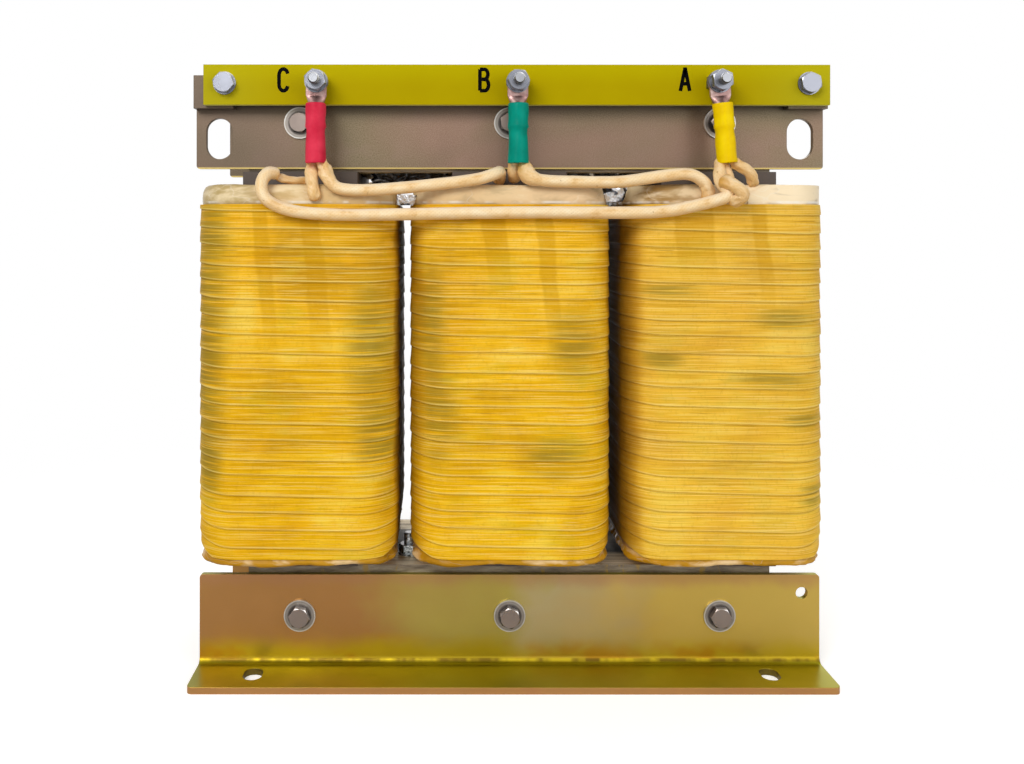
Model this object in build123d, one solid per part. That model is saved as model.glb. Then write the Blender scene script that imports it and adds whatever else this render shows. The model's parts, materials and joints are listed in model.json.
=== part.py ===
from build123d import *
import math
import os

# Three-phase dry-type transformer, open core and coils, in millimetres.
# +X runs along the three limbs, from phase C to phase A. -Y is the front, where the
# lettered terminal board is. +Z is up. The origin is on the ground, below the middle limb.

# ---- core: stacked laminations, three limbs and two yokes ----
limb_pitch = 160.0
limb_width = 80.0
stack_depth = 120.0
yoke_height = 74.0
window_height = 301.5
core_lift = 4.0  # the lower yoke hangs this far above the ground, between the clamps

# ---- clamps: two plates above, two angles with feet below ----
clamp_thickness = 5.0
clamp_corner = 2.5
upper_clamp_overhang = 39.0  # beyond the core, at each end
upper_clamp_height = 70.0
lower_clamp_overhang = 36.5
web_height = 72.0
foot_reach = 42.5  # from the web's outer face to the foot's edge
fold_radius = 5.0
foot_corner = 4.0
foot_slot_width = 14.0
foot_slot_length = 20.0
foot_slot_spacing = 384.0
foot_slot_inset = 22.0  # from the foot's edge to the slot's middle
lifting_slot_width = 20.0
lifting_slot_height = 31.0
lifting_slot_inset = 17.5  # from the clamp's end to the slot's middle
lifting_slot_drop = 12.0  # from the yoke bolts' height down to the slot's middle
earth_hole = 9.0
earth_hole_inset = 13.5  # from the web's end
earth_hole_drop = 14.0  # from the web's top edge

# ---- yoke bolts, M8 ----
bolt_diameter = 8.0
bolt_hole = 9.0
hex_width = 14.0
head_height = 5.5
nut_height = 6.5
thread_end = 3.0  # a bolt stands out of its nut by this much
yoke_washer_diameter = 24.0
yoke_washer_thickness = 2.0
spring_washer_diameter = 14.0
spring_washer_thickness = 2.0
spring_washer_slit = 1.5
tube_diameter = 13.0

# ---- coils ----
former_clearance = 1.5  # round the limb
former_wall = 2.5
inner_winding_build = 12.0
outer_winding_build = 17.0
coil_corner = 33.0  # of the finished coil, seen from above
coil_bottom_gap = 8.5  # from the lower yoke to the bottom collar
coil_top_gap = 10.5
bottom_collar_height = 9.0
top_collar_height = 15.0
collar_inset = 1.0  # from the outer winding's face
collar_edge = 3.0
tape_turns = 20
tape_edge = 1.2  # thickness of a turn's lower edge, where it laps the turn below
tape_base = 1.8  # thickness of the layers under the laps
tape_taper = 6.0  # the lowest turn draws in by this much
tape_taper_turns = 2

# ---- terminal boards ----
board_shortfall = 10.0  # the board is shorter than its clamp by this much
board_height = 30.0
board_thickness = 7.0
board_shift = 4.0  # the front board sits off the middle, towards phase A
board_rise = 7.0  # the board's top edge above the clamp's
spacer_length = 30.0
spacer_height = 25.0
spacer_depth = 10.0
board_bolt_inset = 21.0  # from the clamp's length to the bolt, at each end
board_bolt_rise = 1.0  # above the board's middle height
terminal_pitch = 148.5
small_washer_diameter = 17.0
small_washer_thickness = 1.6
terminal_reach = 9.0  # a terminal bolt stands out of its front nut by this much

# ---- cable lugs and their sleeves ----
palm_width = 15.0
palm_thickness = 3.0
palm_length = 16.5  # from the bolt to the barrel
palm_flare = 6.0  # the palm flows into the barrel over this much of its length
barrel_diameter = 11.0
barrel_length = 15.0
sleeve_diameter = 15.5
sleeve_length = 44.0
sleeve_pinch = 1.0  # below the barrel the sleeve has shrunk by this much
sleeve_rim = 1.0

# ---- leads ----
lead_diameter = 9.0

# ---- earthing stud on the lower yoke, between coils C and B ----
earth_stud_x = -77.5
earth_stud_from_front = 27.0
earth_stud_height = 17.0
earth_stud_depth = 20.0

# ---- places worked out from the sizes above ----
core_width = 2 * limb_pitch + limb_width
upper_clamp_length = core_width + 2 * upper_clamp_overhang
lower_clamp_length = core_width + 2 * lower_clamp_overhang
window_bottom = core_lift + yoke_height
window_top = window_bottom + window_height
lower_bolt_height = core_lift + yoke_height / 2
upper_bolt_height = window_top + yoke_height / 2
clamp_face = stack_depth / 2 + clamp_thickness
lifting_slot_spacing = upper_clamp_length - 2 * lifting_slot_inset
upper_clamp_bottom = upper_bolt_height - upper_clamp_height / 2
upper_clamp_top = upper_bolt_height + upper_clamp_height / 2
board_back = clamp_face + spacer_depth
board_length = upper_clamp_length - board_shortfall
board_bolt_spacing = upper_clamp_length - 2 * board_bolt_inset
board_face = board_back + board_thickness
board_middle = upper_clamp_top + board_rise - board_height / 2
terminal_height = board_middle + board_bolt_rise
coil_bottom = window_bottom + coil_bottom_gap
coil_top = window_top - coil_top_gap
winding_bottom = coil_bottom + bottom_collar_height
winding_top = coil_top - top_collar_height
winding_height = winding_top - winding_bottom
limb_places = {"c": -limb_pitch, "b": 0.0, "a": limb_pitch}
terminal_places = [board_shift - terminal_pitch, board_shift, board_shift + terminal_pitch]
front_terminals = dict(zip("cba", terminal_places))
rear_terminals = dict(zip("abc", [-x for x in terminal_places]))


# ---- helpers ----
def block(x, y, z):
    """A block from pairs of limits."""
    box = Box(x[1] - x[0], y[1] - y[0], z[1] - z[0])
    return Pos((x[0] + x[1]) / 2, (y[0] + y[1]) / 2, (z[0] + z[1]) / 2) * box


def along_y(sketch, y, length):
    """A sketch drawn as seen from the front, x right and y up, pushed back from y."""
    plane = Plane(origin=(0, y, 0), x_dir=(1, 0, 0), z_dir=(0, -1, 0))
    return extrude(plane * sketch, amount=-length)


def mirrored(shape):
    """The same thing at the rear."""
    return mirror(shape, about=Plane.XZ)


def ring_section(width, depth, corner):
    """A rounded rectangle, seen from above."""
    return RectangleRounded(width, depth, corner)


def save(name, *shapes):
    """One node: a piece, or a group of like pieces as separate solids."""
    solids = [solid for shape in shapes for solid in shape.solids()]
    whole = solids[0] if len(solids) == 1 else Compound(children=solids)
    export_step(whole, f"parts/{name}.step")


# ---- core ----
def yoke(middle):
    """Stacked laminations across all three limbs, with a hole for each bolt's tube."""
    face = Rectangle(core_width, yoke_height)
    holes = [Pos(x, 0) * Circle(tube_diameter / 2) for x in limb_places.values()]
    return along_y(Pos(0, middle) * (face - holes), -stack_depth / 2, stack_depth)


def limb(x):
    half = limb_width / 2
    depth = stack_depth / 2
    return block((x - half, x + half), (-depth, depth), (window_bottom, window_top))


# ---- clamps ----
def upper_clamp(board_x):
    """A flat plate with the yoke bolts' holes, two lifting slots and the board's holes."""
    face = Pos(0, upper_bolt_height) * RectangleRounded(
        upper_clamp_length, upper_clamp_height, clamp_corner
    )
    for x in limb_places.values():
        face -= Pos(x, upper_bolt_height) * Circle(bolt_hole / 2)
    for side in (-1, 1):
        middle = (side * lifting_slot_spacing / 2, upper_bolt_height - lifting_slot_drop)
        face -= Pos(*middle) * SlotOverall(lifting_slot_height, lifting_slot_width, rotation=90)
        face -= Pos(board_x + side * board_bolt_spacing / 2, terminal_height) * Circle(bolt_hole / 2)
    return along_y(face, -clamp_face, clamp_thickness)


def foot_slot(x, y):
    return Pos(x, y) * SlotOverall(foot_slot_length, foot_slot_width, rotation=90)


def lower_clamp():
    """A folded angle: the web against the yoke, the foot reaching outwards."""
    half = lower_clamp_length / 2
    web_face = Pos(0, web_height / 2) * Rectangle(lower_clamp_length, web_height)
    web = along_y(web_face, -clamp_face, clamp_thickness)
    edges = web.edges().filter_by(Axis.Y).group_by(Axis.Z)[-1]
    web = fillet(edges, clamp_corner)
    foot_depth = foot_reach + clamp_thickness
    foot_back = -stack_depth / 2
    outline = Pos(0, foot_back - foot_depth / 2) * Rectangle(lower_clamp_length, foot_depth)
    front_corners = outline.vertices().group_by(Axis.Y)[0]
    outline = fillet(front_corners, foot_corner)
    for side in (-1, 1):
        slot_y = -clamp_face - foot_reach + foot_slot_inset
        outline -= foot_slot(side * foot_slot_spacing / 2, slot_y)
    foot = extrude(outline, amount=clamp_thickness)
    fold = block(
        (-half, half),
        (-clamp_face - fold_radius, -clamp_face),
        (clamp_thickness, clamp_thickness + fold_radius),
    )
    hollow = Pos(0, -clamp_face - fold_radius, clamp_thickness + fold_radius)
    fold -= hollow * Rot(0, 90, 0) * Cylinder(fold_radius, lower_clamp_length)
    clamp = web + foot + fold
    holes = [Pos(x, lower_bolt_height) * Circle(bolt_hole / 2) for x in limb_places.values()]
    earth = Pos(half - earth_hole_inset, web_height - earth_hole_drop) * Circle(earth_hole / 2)
    for hole in [*holes, earth]:
        clamp -= along_y(hole, -clamp_face, clamp_thickness)
    return clamp


# ---- fasteners, drawn with their seat at the origin and the tip towards +Z ----
def hexagon(width):
    return RegularPolygon(width / 2, 6, major_radius=False)


def chamfered_hexagon(width, height):
    """A hexagon with its far corners turned off, as on a bolt head or a nut."""
    prism = extrude(hexagon(width), amount=height)
    crown = width / 2 / math.cos(math.pi / 6)
    drop = (crown - width / 2) * math.tan(math.pi / 6)
    turned = Cylinder(crown, height - drop, align=(Align.CENTER, Align.CENTER, Align.MIN))
    cone = Cone(crown, width / 2, drop, align=(Align.CENTER, Align.CENTER, Align.MIN))
    return prism & (turned + Pos(0, 0, height - drop) * cone)


def hex_bolt(diameter, length):
    """The head is below the seat and the shank runs up from it."""
    head = Rot(180, 0, 0) * chamfered_hexagon(hex_width, head_height)
    shank = Cylinder(diameter / 2, length, align=(Align.CENTER, Align.CENTER, Align.MIN))
    rim = shank.edges().filter_by(GeomType.CIRCLE).group_by(Axis.Z)[-1]
    return head + chamfer(rim, diameter / 10)


def nut(diameter):
    bore = Cylinder(diameter / 2, nut_height, align=(Align.CENTER, Align.CENTER, Align.MIN))
    return chamfered_hexagon(hex_width, nut_height) - bore


def washer(outer, bore, thickness):
    return extrude(Circle(outer / 2) - Circle(bore / 2), amount=thickness)


def spring_washer(bore):
    """A split ring; its two ends stand a slit's width apart."""
    ring = washer(spring_washer_diameter, bore, spring_washer_thickness)
    slit = Pos(spring_washer_diameter / 2, 0, spring_washer_thickness / 2) * Box(
        spring_washer_diameter, spring_washer_slit, 2 * spring_washer_thickness
    )
    return ring - slit


def facing_back(x, y, z, turn=0.0):
    """Puts a fastener's seat at a point, with its tip towards the rear."""
    return Pos(x, y, z) * Rot(-90, 0, 0) * Rot(0, 0, turn)


def facing_front(x, y, z, turn=0.0):
    return Pos(x, y, z) * Rot(90, 0, 0) * Rot(0, 0, turn)


# ---- yoke bolts ----
bolt_heights = (lower_bolt_height, upper_bolt_height)
yoke_bolt_places = [(x, z) for z in bolt_heights for x in limb_places.values()]
yoke_grip = 2 * clamp_face + 2 * yoke_washer_thickness + spring_washer_thickness
front_seat = -clamp_face - yoke_washer_thickness
rear_nut_seat = front_seat + yoke_grip
yoke_bolt_turns = [8.0, 20.0, 3.0, 14.0, 26.0, 5.0]  # no two heads stop at the same angle


def yoke_fasteners():
    bolts, washers, springs, nuts, tubes = [], [], [], [], []
    for (x, z), turn in zip(yoke_bolt_places, yoke_bolt_turns):
        length = yoke_grip + nut_height + thread_end
        bolts.append(facing_back(x, front_seat, z, turn) * hex_bolt(bolt_diameter, length))
        flat = washer(yoke_washer_diameter, bolt_hole, yoke_washer_thickness)
        washers.append(facing_back(x, front_seat, z) * flat)
        washers.append(facing_back(x, clamp_face, z) * flat)
        springs.append(
            facing_back(x, clamp_face + yoke_washer_thickness, z, turn) * spring_washer(bolt_diameter)
        )
        nuts.append(facing_back(x, rear_nut_seat, z, turn) * nut(bolt_diameter))
        tube = washer(tube_diameter, bolt_hole, stack_depth)
        tubes.append(facing_back(x, -stack_depth / 2, z) * tube)
    save("yoke_bolts", *bolts)
    save("yoke_bolt_washers", *washers)
    save("yoke_bolt_spring_washers", *springs)
    save("yoke_bolt_nuts", *nuts)
    save("yoke_bolt_tubes", *tubes)


# ---- coils ----
former_width = limb_width + 2 * (former_clearance + former_wall)
former_depth = stack_depth + 2 * (former_clearance + former_wall)
inner_width = former_width + 2 * inner_winding_build
inner_depth = former_depth + 2 * inner_winding_build
outer_width = inner_width + 2 * outer_winding_build
outer_depth = inner_depth + 2 * outer_winding_build
tape_thickness = tape_base + tape_edge
winding_corner = coil_corner - tape_thickness
inner_corner = winding_corner - outer_winding_build
former_corner = inner_corner - inner_winding_build


def hollow_prism(x, outer, inner, bottom, top):
    """A straight wall round a limb. Each of outer and inner is a width, depth and corner."""
    wall = ring_section(*outer) - (ring_section(*inner) if inner[2] > 0 else Rectangle(*inner[:2]))
    return Pos(x, 0, bottom) * extrude(wall, amount=top - bottom)


former_size = (former_width, former_depth, former_corner)
inner_size = (inner_width, inner_depth, inner_corner)
outer_size = (outer_width, outer_depth, winding_corner)


def former(x):
    bore = (former_width - 2 * former_wall, former_depth - 2 * former_wall, 0)
    return hollow_prism(x, former_size, bore, window_bottom, window_top)


def collar(x, bottom, top, rounded_side):
    """The film and paper packing at a coil's end, rounded where it is folded over."""
    size = (
        outer_width - 2 * collar_inset,
        outer_depth - 2 * collar_inset,
        winding_corner - collar_inset,
    )
    ring = hollow_prism(x, size, former_size, bottom, top)
    outer_edges = ring.edges().group_by(Axis.Z)[rounded_side]
    outer_edges = [e for e in outer_edges if not near_former(e, x)]
    return chamfer(outer_edges, collar_edge)


def near_former(edge, x):
    """True for an edge on the bore side of a collar."""
    middle = edge.position_at(0.5)
    inside_x = abs(middle.X - x) < former_width / 2 + 1
    inside_y = abs(middle.Y) < former_depth / 2 + 1
    return inside_x and inside_y


def tape_wrap(x):
    """Tape wound round and up the outer winding, each turn lapping the one below it.

    A turn is a band that leans out downwards, so its lower edge stands proud of the turn
    below. The lowest turns draw in to the winding."""
    rise = winding_height / tape_turns
    bands = []
    for turn in range(tape_turns):
        bottom = winding_bottom + turn * rise
        draw_in = max(0, tape_taper_turns - turn) / tape_taper_turns
        proud = tape_thickness - draw_in * (tape_thickness - tape_base)
        low = wrap_outline(proud)
        high = wrap_outline(tape_base)
        band = loft([Pos(x, 0, bottom) * low, Pos(x, 0, bottom + rise) * high])
        bands.append(band)
    wrap = bands[0].fuse(*bands[1:])
    core = Pos(x, 0, winding_bottom) * extrude(ring_section(*outer_size), amount=winding_height)
    return wrap - core


def wrap_outline(proud):
    return ring_section(outer_width + 2 * proud, outer_depth + 2 * proud, winding_corner + proud)


# ---- terminal boards ----
def board(shift):
    face = Pos(shift, board_middle) * Rectangle(board_length, board_height)
    for x in terminal_places:
        face -= Pos(x - board_shift + shift, terminal_height) * Circle(bolt_diameter / 2)
    for side in (-1, 1):
        face -= Pos(shift + side * board_bolt_spacing / 2, terminal_height) * Circle(bolt_hole / 2)
    return along_y(face, -board_face, board_thickness)


def spacers(shift):
    """Blocks that hold a board off its clamp, each with the board bolt through it."""
    blocks = []
    for side in (-1, 1):
        outer_end = side * upper_clamp_length / 2
        middle = (outer_end - side * spacer_length / 2, upper_clamp_top - spacer_height / 2)
        face = Pos(*middle) * Rectangle(spacer_length, spacer_height)
        face -= Pos(shift + side * board_bolt_spacing / 2, terminal_height) * Circle(bolt_hole / 2)
        blocks.append(along_y(face, -board_back, spacer_depth))
    return blocks


board_grip = board_thickness + spacer_depth + clamp_thickness + small_washer_thickness
board_bolt_length = board_grip + small_washer_thickness + nut_height + thread_end
board_bolt_turns = {-1: 12.0, 1: 24.0}


def board_fasteners(shift):
    """Two bolts from the board's face to nuts behind the clamp."""
    bolts, washers, nuts = [], [], []
    flat = washer(small_washer_diameter, bolt_diameter, small_washer_thickness)
    seat = -board_face - small_washer_thickness
    for side, turn in board_bolt_turns.items():
        x = shift + side * board_bolt_spacing / 2
        bolt = hex_bolt(bolt_diameter, board_bolt_length)
        bolts.append(facing_back(x, seat, terminal_height, turn) * bolt)
        washers.append(facing_back(x, seat, terminal_height) * flat)
        washers.append(facing_back(x, -stack_depth / 2, terminal_height) * flat)
        nut_seat = -stack_depth / 2 + small_washer_thickness
        nuts.append(facing_back(x, nut_seat, terminal_height, turn) * nut(bolt_diameter))
    return bolts, washers, nuts


# A terminal's stack, from the board's face outwards.
lug_nut_seat = board_face
lug_washer_seat = lug_nut_seat + nut_height
lug_seat = lug_washer_seat + small_washer_thickness
outer_washer_seat = lug_seat + palm_thickness
spring_seat = outer_washer_seat + small_washer_thickness
front_nut_seat = spring_seat + spring_washer_thickness
terminal_tip = front_nut_seat + nut_height + terminal_reach
terminal_turns = [17.0, 4.0, 25.0]


def terminal_stacks(places):
    """The bolt, its nuts and its washers, for each terminal of a board."""
    bolts, nuts, washers, springs = [], [], [], []
    flat = washer(small_washer_diameter, bolt_diameter, small_washer_thickness)
    for x, turn in zip(places, terminal_turns):
        z = terminal_height
        bolt = hex_bolt(bolt_diameter, terminal_tip - board_back)
        bolts.append(facing_front(x, -board_back, z, turn) * bolt)
        nuts.append(facing_front(x, -lug_nut_seat, z, turn) * nut(bolt_diameter))
        nuts.append(facing_front(x, -front_nut_seat, z, -turn) * nut(bolt_diameter))
        washers.append(facing_front(x, -lug_washer_seat, z) * flat)
        washers.append(facing_front(x, -outer_washer_seat, z) * flat)
        springs.append(facing_front(x, -spring_seat, z, turn) * spring_washer(bolt_diameter))
    return bolts, nuts, washers, springs


# ---- cable lugs, hanging from their terminals ----
lug_middle = lug_seat + palm_thickness / 2
barrel_top = terminal_height - palm_length
sleeve_foot = barrel_top - sleeve_length
lug_lean = {"c": 0.0, "b": 0.0, "a": -4.5}  # degrees; lug A leans out to the right


def hang(x, lean=0.0):
    """Puts a lug or sleeve, drawn hanging below the origin, on its terminal."""
    return Pos(x, -lug_middle, terminal_height) * Rot(0, lean, 0)


def lug():
    """A flattened palm with a hole, flowing into the tube that holds the cable's end."""
    straight = palm_length - palm_flare
    palm = Circle(palm_width / 2) + Pos(0, -straight / 2) * Rectangle(palm_width, straight)
    palm -= Circle(bolt_diameter / 2)
    palm = along_y(palm, -palm_thickness / 2, palm_thickness)
    foot = Pos(0, 0, -straight) * Rectangle(palm_width, palm_thickness)
    mouth = Pos(0, 0, -palm_length) * Circle(barrel_diameter / 2)
    barrel = Pos(0, 0, -palm_length - barrel_length) * extrude(
        Circle(barrel_diameter / 2), amount=barrel_length
    )
    return palm + loft([mouth, foot]) + barrel


def sleeve():
    """Shrink sleeve: full over the lug's barrel and drawn in below it."""
    step = -(palm_length + barrel_length)
    bottom = -(palm_length + sleeve_length)
    full = sleeve_diameter / 2
    drawn = full - sleeve_pinch
    bore = barrel_diameter / 2
    profile = Polyline(
        (bore, -palm_length),
        (full - sleeve_rim, -palm_length),
        (full, -palm_length - 2 * sleeve_rim),
        (full, step + 2 * sleeve_rim),
        (drawn, step - 2 * sleeve_rim),
        (drawn, bottom + 3 * sleeve_rim),
        (full, bottom + sleeve_rim),
        (full, bottom),
        (0, bottom),
        (0, step),
        (bore, step),
        close=True,
    )
    return revolve(Plane.XZ * make_face(profile), Axis.Z)


# ---- leads: formed conductors in braided sleeving, held at both ends ----
def corner_radii(points):
    """The widest arc that each corner's two runs leave room for."""
    radii = []
    vectors = [Vector(*p) for p in points]
    for before, here, after in zip(vectors, vectors[1:], vectors[2:]):
        turn = math.radians((here - before).get_angle(after - here))
        run = min((here - before).length, (after - here).length)
        radii.append(0.45 * run / math.tan(turn / 2))
    return radii


def lead(points):
    """A round lead along straight runs and tangent arcs."""
    radii = corner_radii(points)
    path = FilletPolyline(*points, radius=radii)
    start = Plane(origin=path @ 0, z_dir=path % 0)
    solid = sweep(start * Circle(lead_diameter / 2), path=path)
    expected = math.pi * lead_diameter**2 / 4 * path.length
    error = solid.volume / expected - 1
    tightest = min(radii) / lead_diameter
    print(f"lead {path.length:.0f} long, tightest arc {tightest:.1f} diameters, off by {error:.4f}")
    return solid


# A route's point is its place along the core, how far it lies in front of the core's face
# (behind it, for the rear) and its height above the coils' tops.
lead_radius = lead_diameter / 2
against_collar = outer_depth / 2 - collar_inset + lead_radius - stack_depth / 2
tuck = 2.0 - top_collar_height  # the coil leads go in under the film here
from_sleeve = sleeve_foot + 2.0 - coil_top  # drawn into the sleeve, then cut off at its foot

# The delta: each lead runs from one terminal to the next coil's winding.
delta_leads = {
    "delta_lead_cb": [
        (-140.5, 35, from_sleeve),
        (-136.5, 36.5, 6.5),
        (-132, 38, -1.3),
        (-124.5, 38.5, -4.9),
        (-97.5, 38.5, -4.9),
        (-53.5, 38.5, -0.5),
        (-25, 38, 3),
        (-15, 36, 6.5),
        (-9, 31, 9),
        (-9, 22, 8),
        (-10, 12, lead_radius),
    ],
    "delta_lead_ba": [
        (8, 35.5, from_sleeve),
        (9.5, 37, 8),
        (14, 38, 3.5),
        (26, 38.5, 1.5),
        (60, 38.5, 1),
        (78, 38.5, 1),
        (92.5, 38.5, 3),
        (115, 38.5, 6.5),
        (129, 38.5, 7.5),
        (137, 38, 3.5),
        (142.5, 37.5, -2),
        (144, against_collar, tuck),
    ],
    "delta_lead_ac": [
        (162.5, 35.5, from_sleeve),
        (170, 38, 9.5),
        (174, 42, 2),
        (170, 45, -5),
        (158, 46.5, -8.5),
        (146, 46, -12.5),
        (137, 44.5, -15),
        (115, 42, -20),
        (92.5, 41.5, -21.5),
        (20, 41.5, -21),
        (-31.5, 41.5, -21.5),
        (-97.5, 41.5, -23),
        (-134, 41.5, -23),
        (-158, 42, -21),
        (-172, 42.5, -17),
        (-181, 42, -11),
        (-184, 41, -3),
        (-182, 37.5, 5),
        (-176, 30, 9),
        (-167, 20, 7.5),
        (-156, 15, lead_radius),
    ],
}
coil_leads = {
    "coil_lead_c": [
        (-147.5, 29.5, from_sleeve),
        (-148, 33, 6),
        (-147, against_collar, 0),
        (-144.5, against_collar, tuck),
    ],
    "coil_lead_b": [
        (1, 29.5, from_sleeve),
        (1, 28, (from_sleeve + lead_radius) / 2),
        (2.5, 21, lead_radius + 2),
        (3, 10, lead_radius),
    ],
    "coil_lead_a": [
        (154.5, 29.5, from_sleeve),
        (157.5, 33, 6),
        (158, against_collar, 0),
        (158, against_collar, tuck),
    ],
}
star_lead = [
    (-150, 12, lead_radius),
    (-130, 16, lead_radius),
    (-90, 18, lead_radius),
    (-40, 17, lead_radius),
    (10, 18, lead_radius),
    (60, 17, lead_radius),
    (110, 18, lead_radius),
    (135, 16, lead_radius),
    (152, 11, lead_radius),
]


def rear_lead(x):
    """From a rear sleeve down against the collar, where the inner winding comes out."""
    return [
        (x, lug_middle - stack_depth / 2, from_sleeve),
        (x + 1, against_collar, 8),
        (x + 0.5, against_collar, -1),
        (x - 1, against_collar, tuck),
    ]


def routed(route, side):
    """A route's points in space; side is -1 at the front and 1 at the rear."""
    return [(x, side * (stack_depth / 2 + out), coil_top + rise) for x, out, rise in route]


# ---- earthing stud on the lower yoke, in the space between coils C and B ----
def earth_place(height):
    return Pos(earth_stud_x, -stack_depth / 2 + earth_stud_from_front, height)


def drilled_yoke():
    hole = Pos(0, 0, -earth_stud_depth) * extrude(Circle(bolt_diameter / 2), amount=earth_stud_depth)
    return yoke(lower_bolt_height) - earth_place(window_bottom) * hole


def earth_stud():
    length = earth_stud_depth + earth_stud_height
    rod = Pos(0, 0, -earth_stud_depth) * extrude(Circle(bolt_diameter / 2), amount=length)
    rim = rod.edges().filter_by(GeomType.CIRCLE).group_by(Axis.Z)[-1]
    return earth_place(window_bottom) * chamfer(rim, bolt_diameter / 10)


def main():
    os.makedirs("parts", exist_ok=True)
    save("yoke_lower", drilled_yoke())
    save("yoke_upper", yoke(upper_bolt_height))
    save("upper_clamp_front", upper_clamp(board_shift))
    save("upper_clamp_rear", mirrored(upper_clamp(-board_shift)))
    angle = lower_clamp()
    save("lower_clamp_front", angle)
    save("lower_clamp_rear", Rot(0, 0, 180) * angle)
    yoke_fasteners()
    for name, x in limb_places.items():
        save(f"core_limb_{name}", limb(x))
        save(f"coil_former_{name}", former(x))
        inner = hollow_prism(x, inner_size, former_size, winding_bottom, winding_top)
        outer = hollow_prism(x, outer_size, inner_size, winding_bottom, winding_top)
        save(f"inner_winding_{name}", inner)
        save(f"outer_winding_{name}", outer)
        save(f"tape_wrap_{name}", tape_wrap(x))
        save(f"bottom_collar_{name}", collar(x, coil_bottom, winding_bottom, 0))
        save(f"top_collar_{name}", collar(x, winding_top, coil_top, -1))
    save("terminal_board_front", board(board_shift))
    save("terminal_board_rear", mirrored(board(-board_shift)))
    save("board_spacers", *spacers(board_shift), *[mirrored(s) for s in spacers(-board_shift)])
    front = board_fasteners(board_shift)
    rear = [[mirrored(s) for s in group] for group in board_fasteners(-board_shift)]
    for name, a, b in zip(("board_bolts", "board_bolt_washers", "board_bolt_nuts"), front, rear):
        save(name, *a, *b)
    front = terminal_stacks(terminal_places)
    rear = [[mirrored(s) for s in g] for g in terminal_stacks([-x for x in terminal_places])]
    names = ("terminal_bolts", "terminal_nuts", "terminal_washers", "terminal_spring_washers")
    for name, a, b in zip(names, front, rear):
        save(name, *a, *b)
    front = [hang(x, lug_lean[name]) for name, x in front_terminals.items()]
    rear = [hang(x) for x in rear_terminals.values()]
    save("cable_lugs", *[place * lug() for place in front], *[mirrored(p * lug()) for p in rear])
    sleeves = [[a * sleeve(), mirrored(b * sleeve())] for a, b in zip(front, rear)]
    for colour, pair in zip(("red", "green", "yellow"), sleeves):
        save(f"sleeve_{colour}", *pair)
    around = [solid for pair in sleeves for solid in pair]
    for name, points in {**delta_leads, **coil_leads}.items():
        save(name, lead(routed(points, -1)) - around)
    for name, x in rear_terminals.items():
        save(f"rear_lead_{name}", lead(routed(rear_lead(x), 1)) - around)
    save("star_lead", lead(routed(star_lead, 1)))
    save("core_earth_stud", earth_stud())
    flat = washer(small_washer_diameter, bolt_diameter, small_washer_thickness)
    save("core_earth_washer", earth_place(window_bottom) * flat)
    save("core_earth_nut", earth_place(window_bottom + small_washer_thickness) * nut(bolt_diameter))


main()
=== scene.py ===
import json
import math

import bpy
from mathutils import Matrix, Vector, noise


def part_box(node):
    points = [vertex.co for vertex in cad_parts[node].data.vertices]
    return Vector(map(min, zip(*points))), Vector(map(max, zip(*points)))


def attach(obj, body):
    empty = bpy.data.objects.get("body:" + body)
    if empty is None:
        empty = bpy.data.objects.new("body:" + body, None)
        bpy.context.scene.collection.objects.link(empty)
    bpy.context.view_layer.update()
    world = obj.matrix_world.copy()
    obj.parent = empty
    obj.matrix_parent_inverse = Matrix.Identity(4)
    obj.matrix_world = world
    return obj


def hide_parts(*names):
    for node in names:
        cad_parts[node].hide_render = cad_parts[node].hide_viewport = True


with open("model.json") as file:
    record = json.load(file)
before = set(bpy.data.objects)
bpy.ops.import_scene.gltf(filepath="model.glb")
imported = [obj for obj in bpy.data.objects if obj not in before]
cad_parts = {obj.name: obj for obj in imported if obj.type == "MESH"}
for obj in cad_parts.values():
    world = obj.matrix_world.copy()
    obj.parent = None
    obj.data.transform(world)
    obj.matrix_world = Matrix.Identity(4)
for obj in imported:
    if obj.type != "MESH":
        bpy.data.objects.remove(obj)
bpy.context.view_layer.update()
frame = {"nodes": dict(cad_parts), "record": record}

# A three-phase dry-type transformer. Lengths are in metres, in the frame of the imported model:
# +X along the limbs, -Y out of the lettered front, +Z up.
MM = 0.001
nodes = frame["nodes"]
mounts = {m["name"]: m for m in frame["record"]["mounts"]}
PHASES = ("c", "b", "a")  # from left to right


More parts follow.
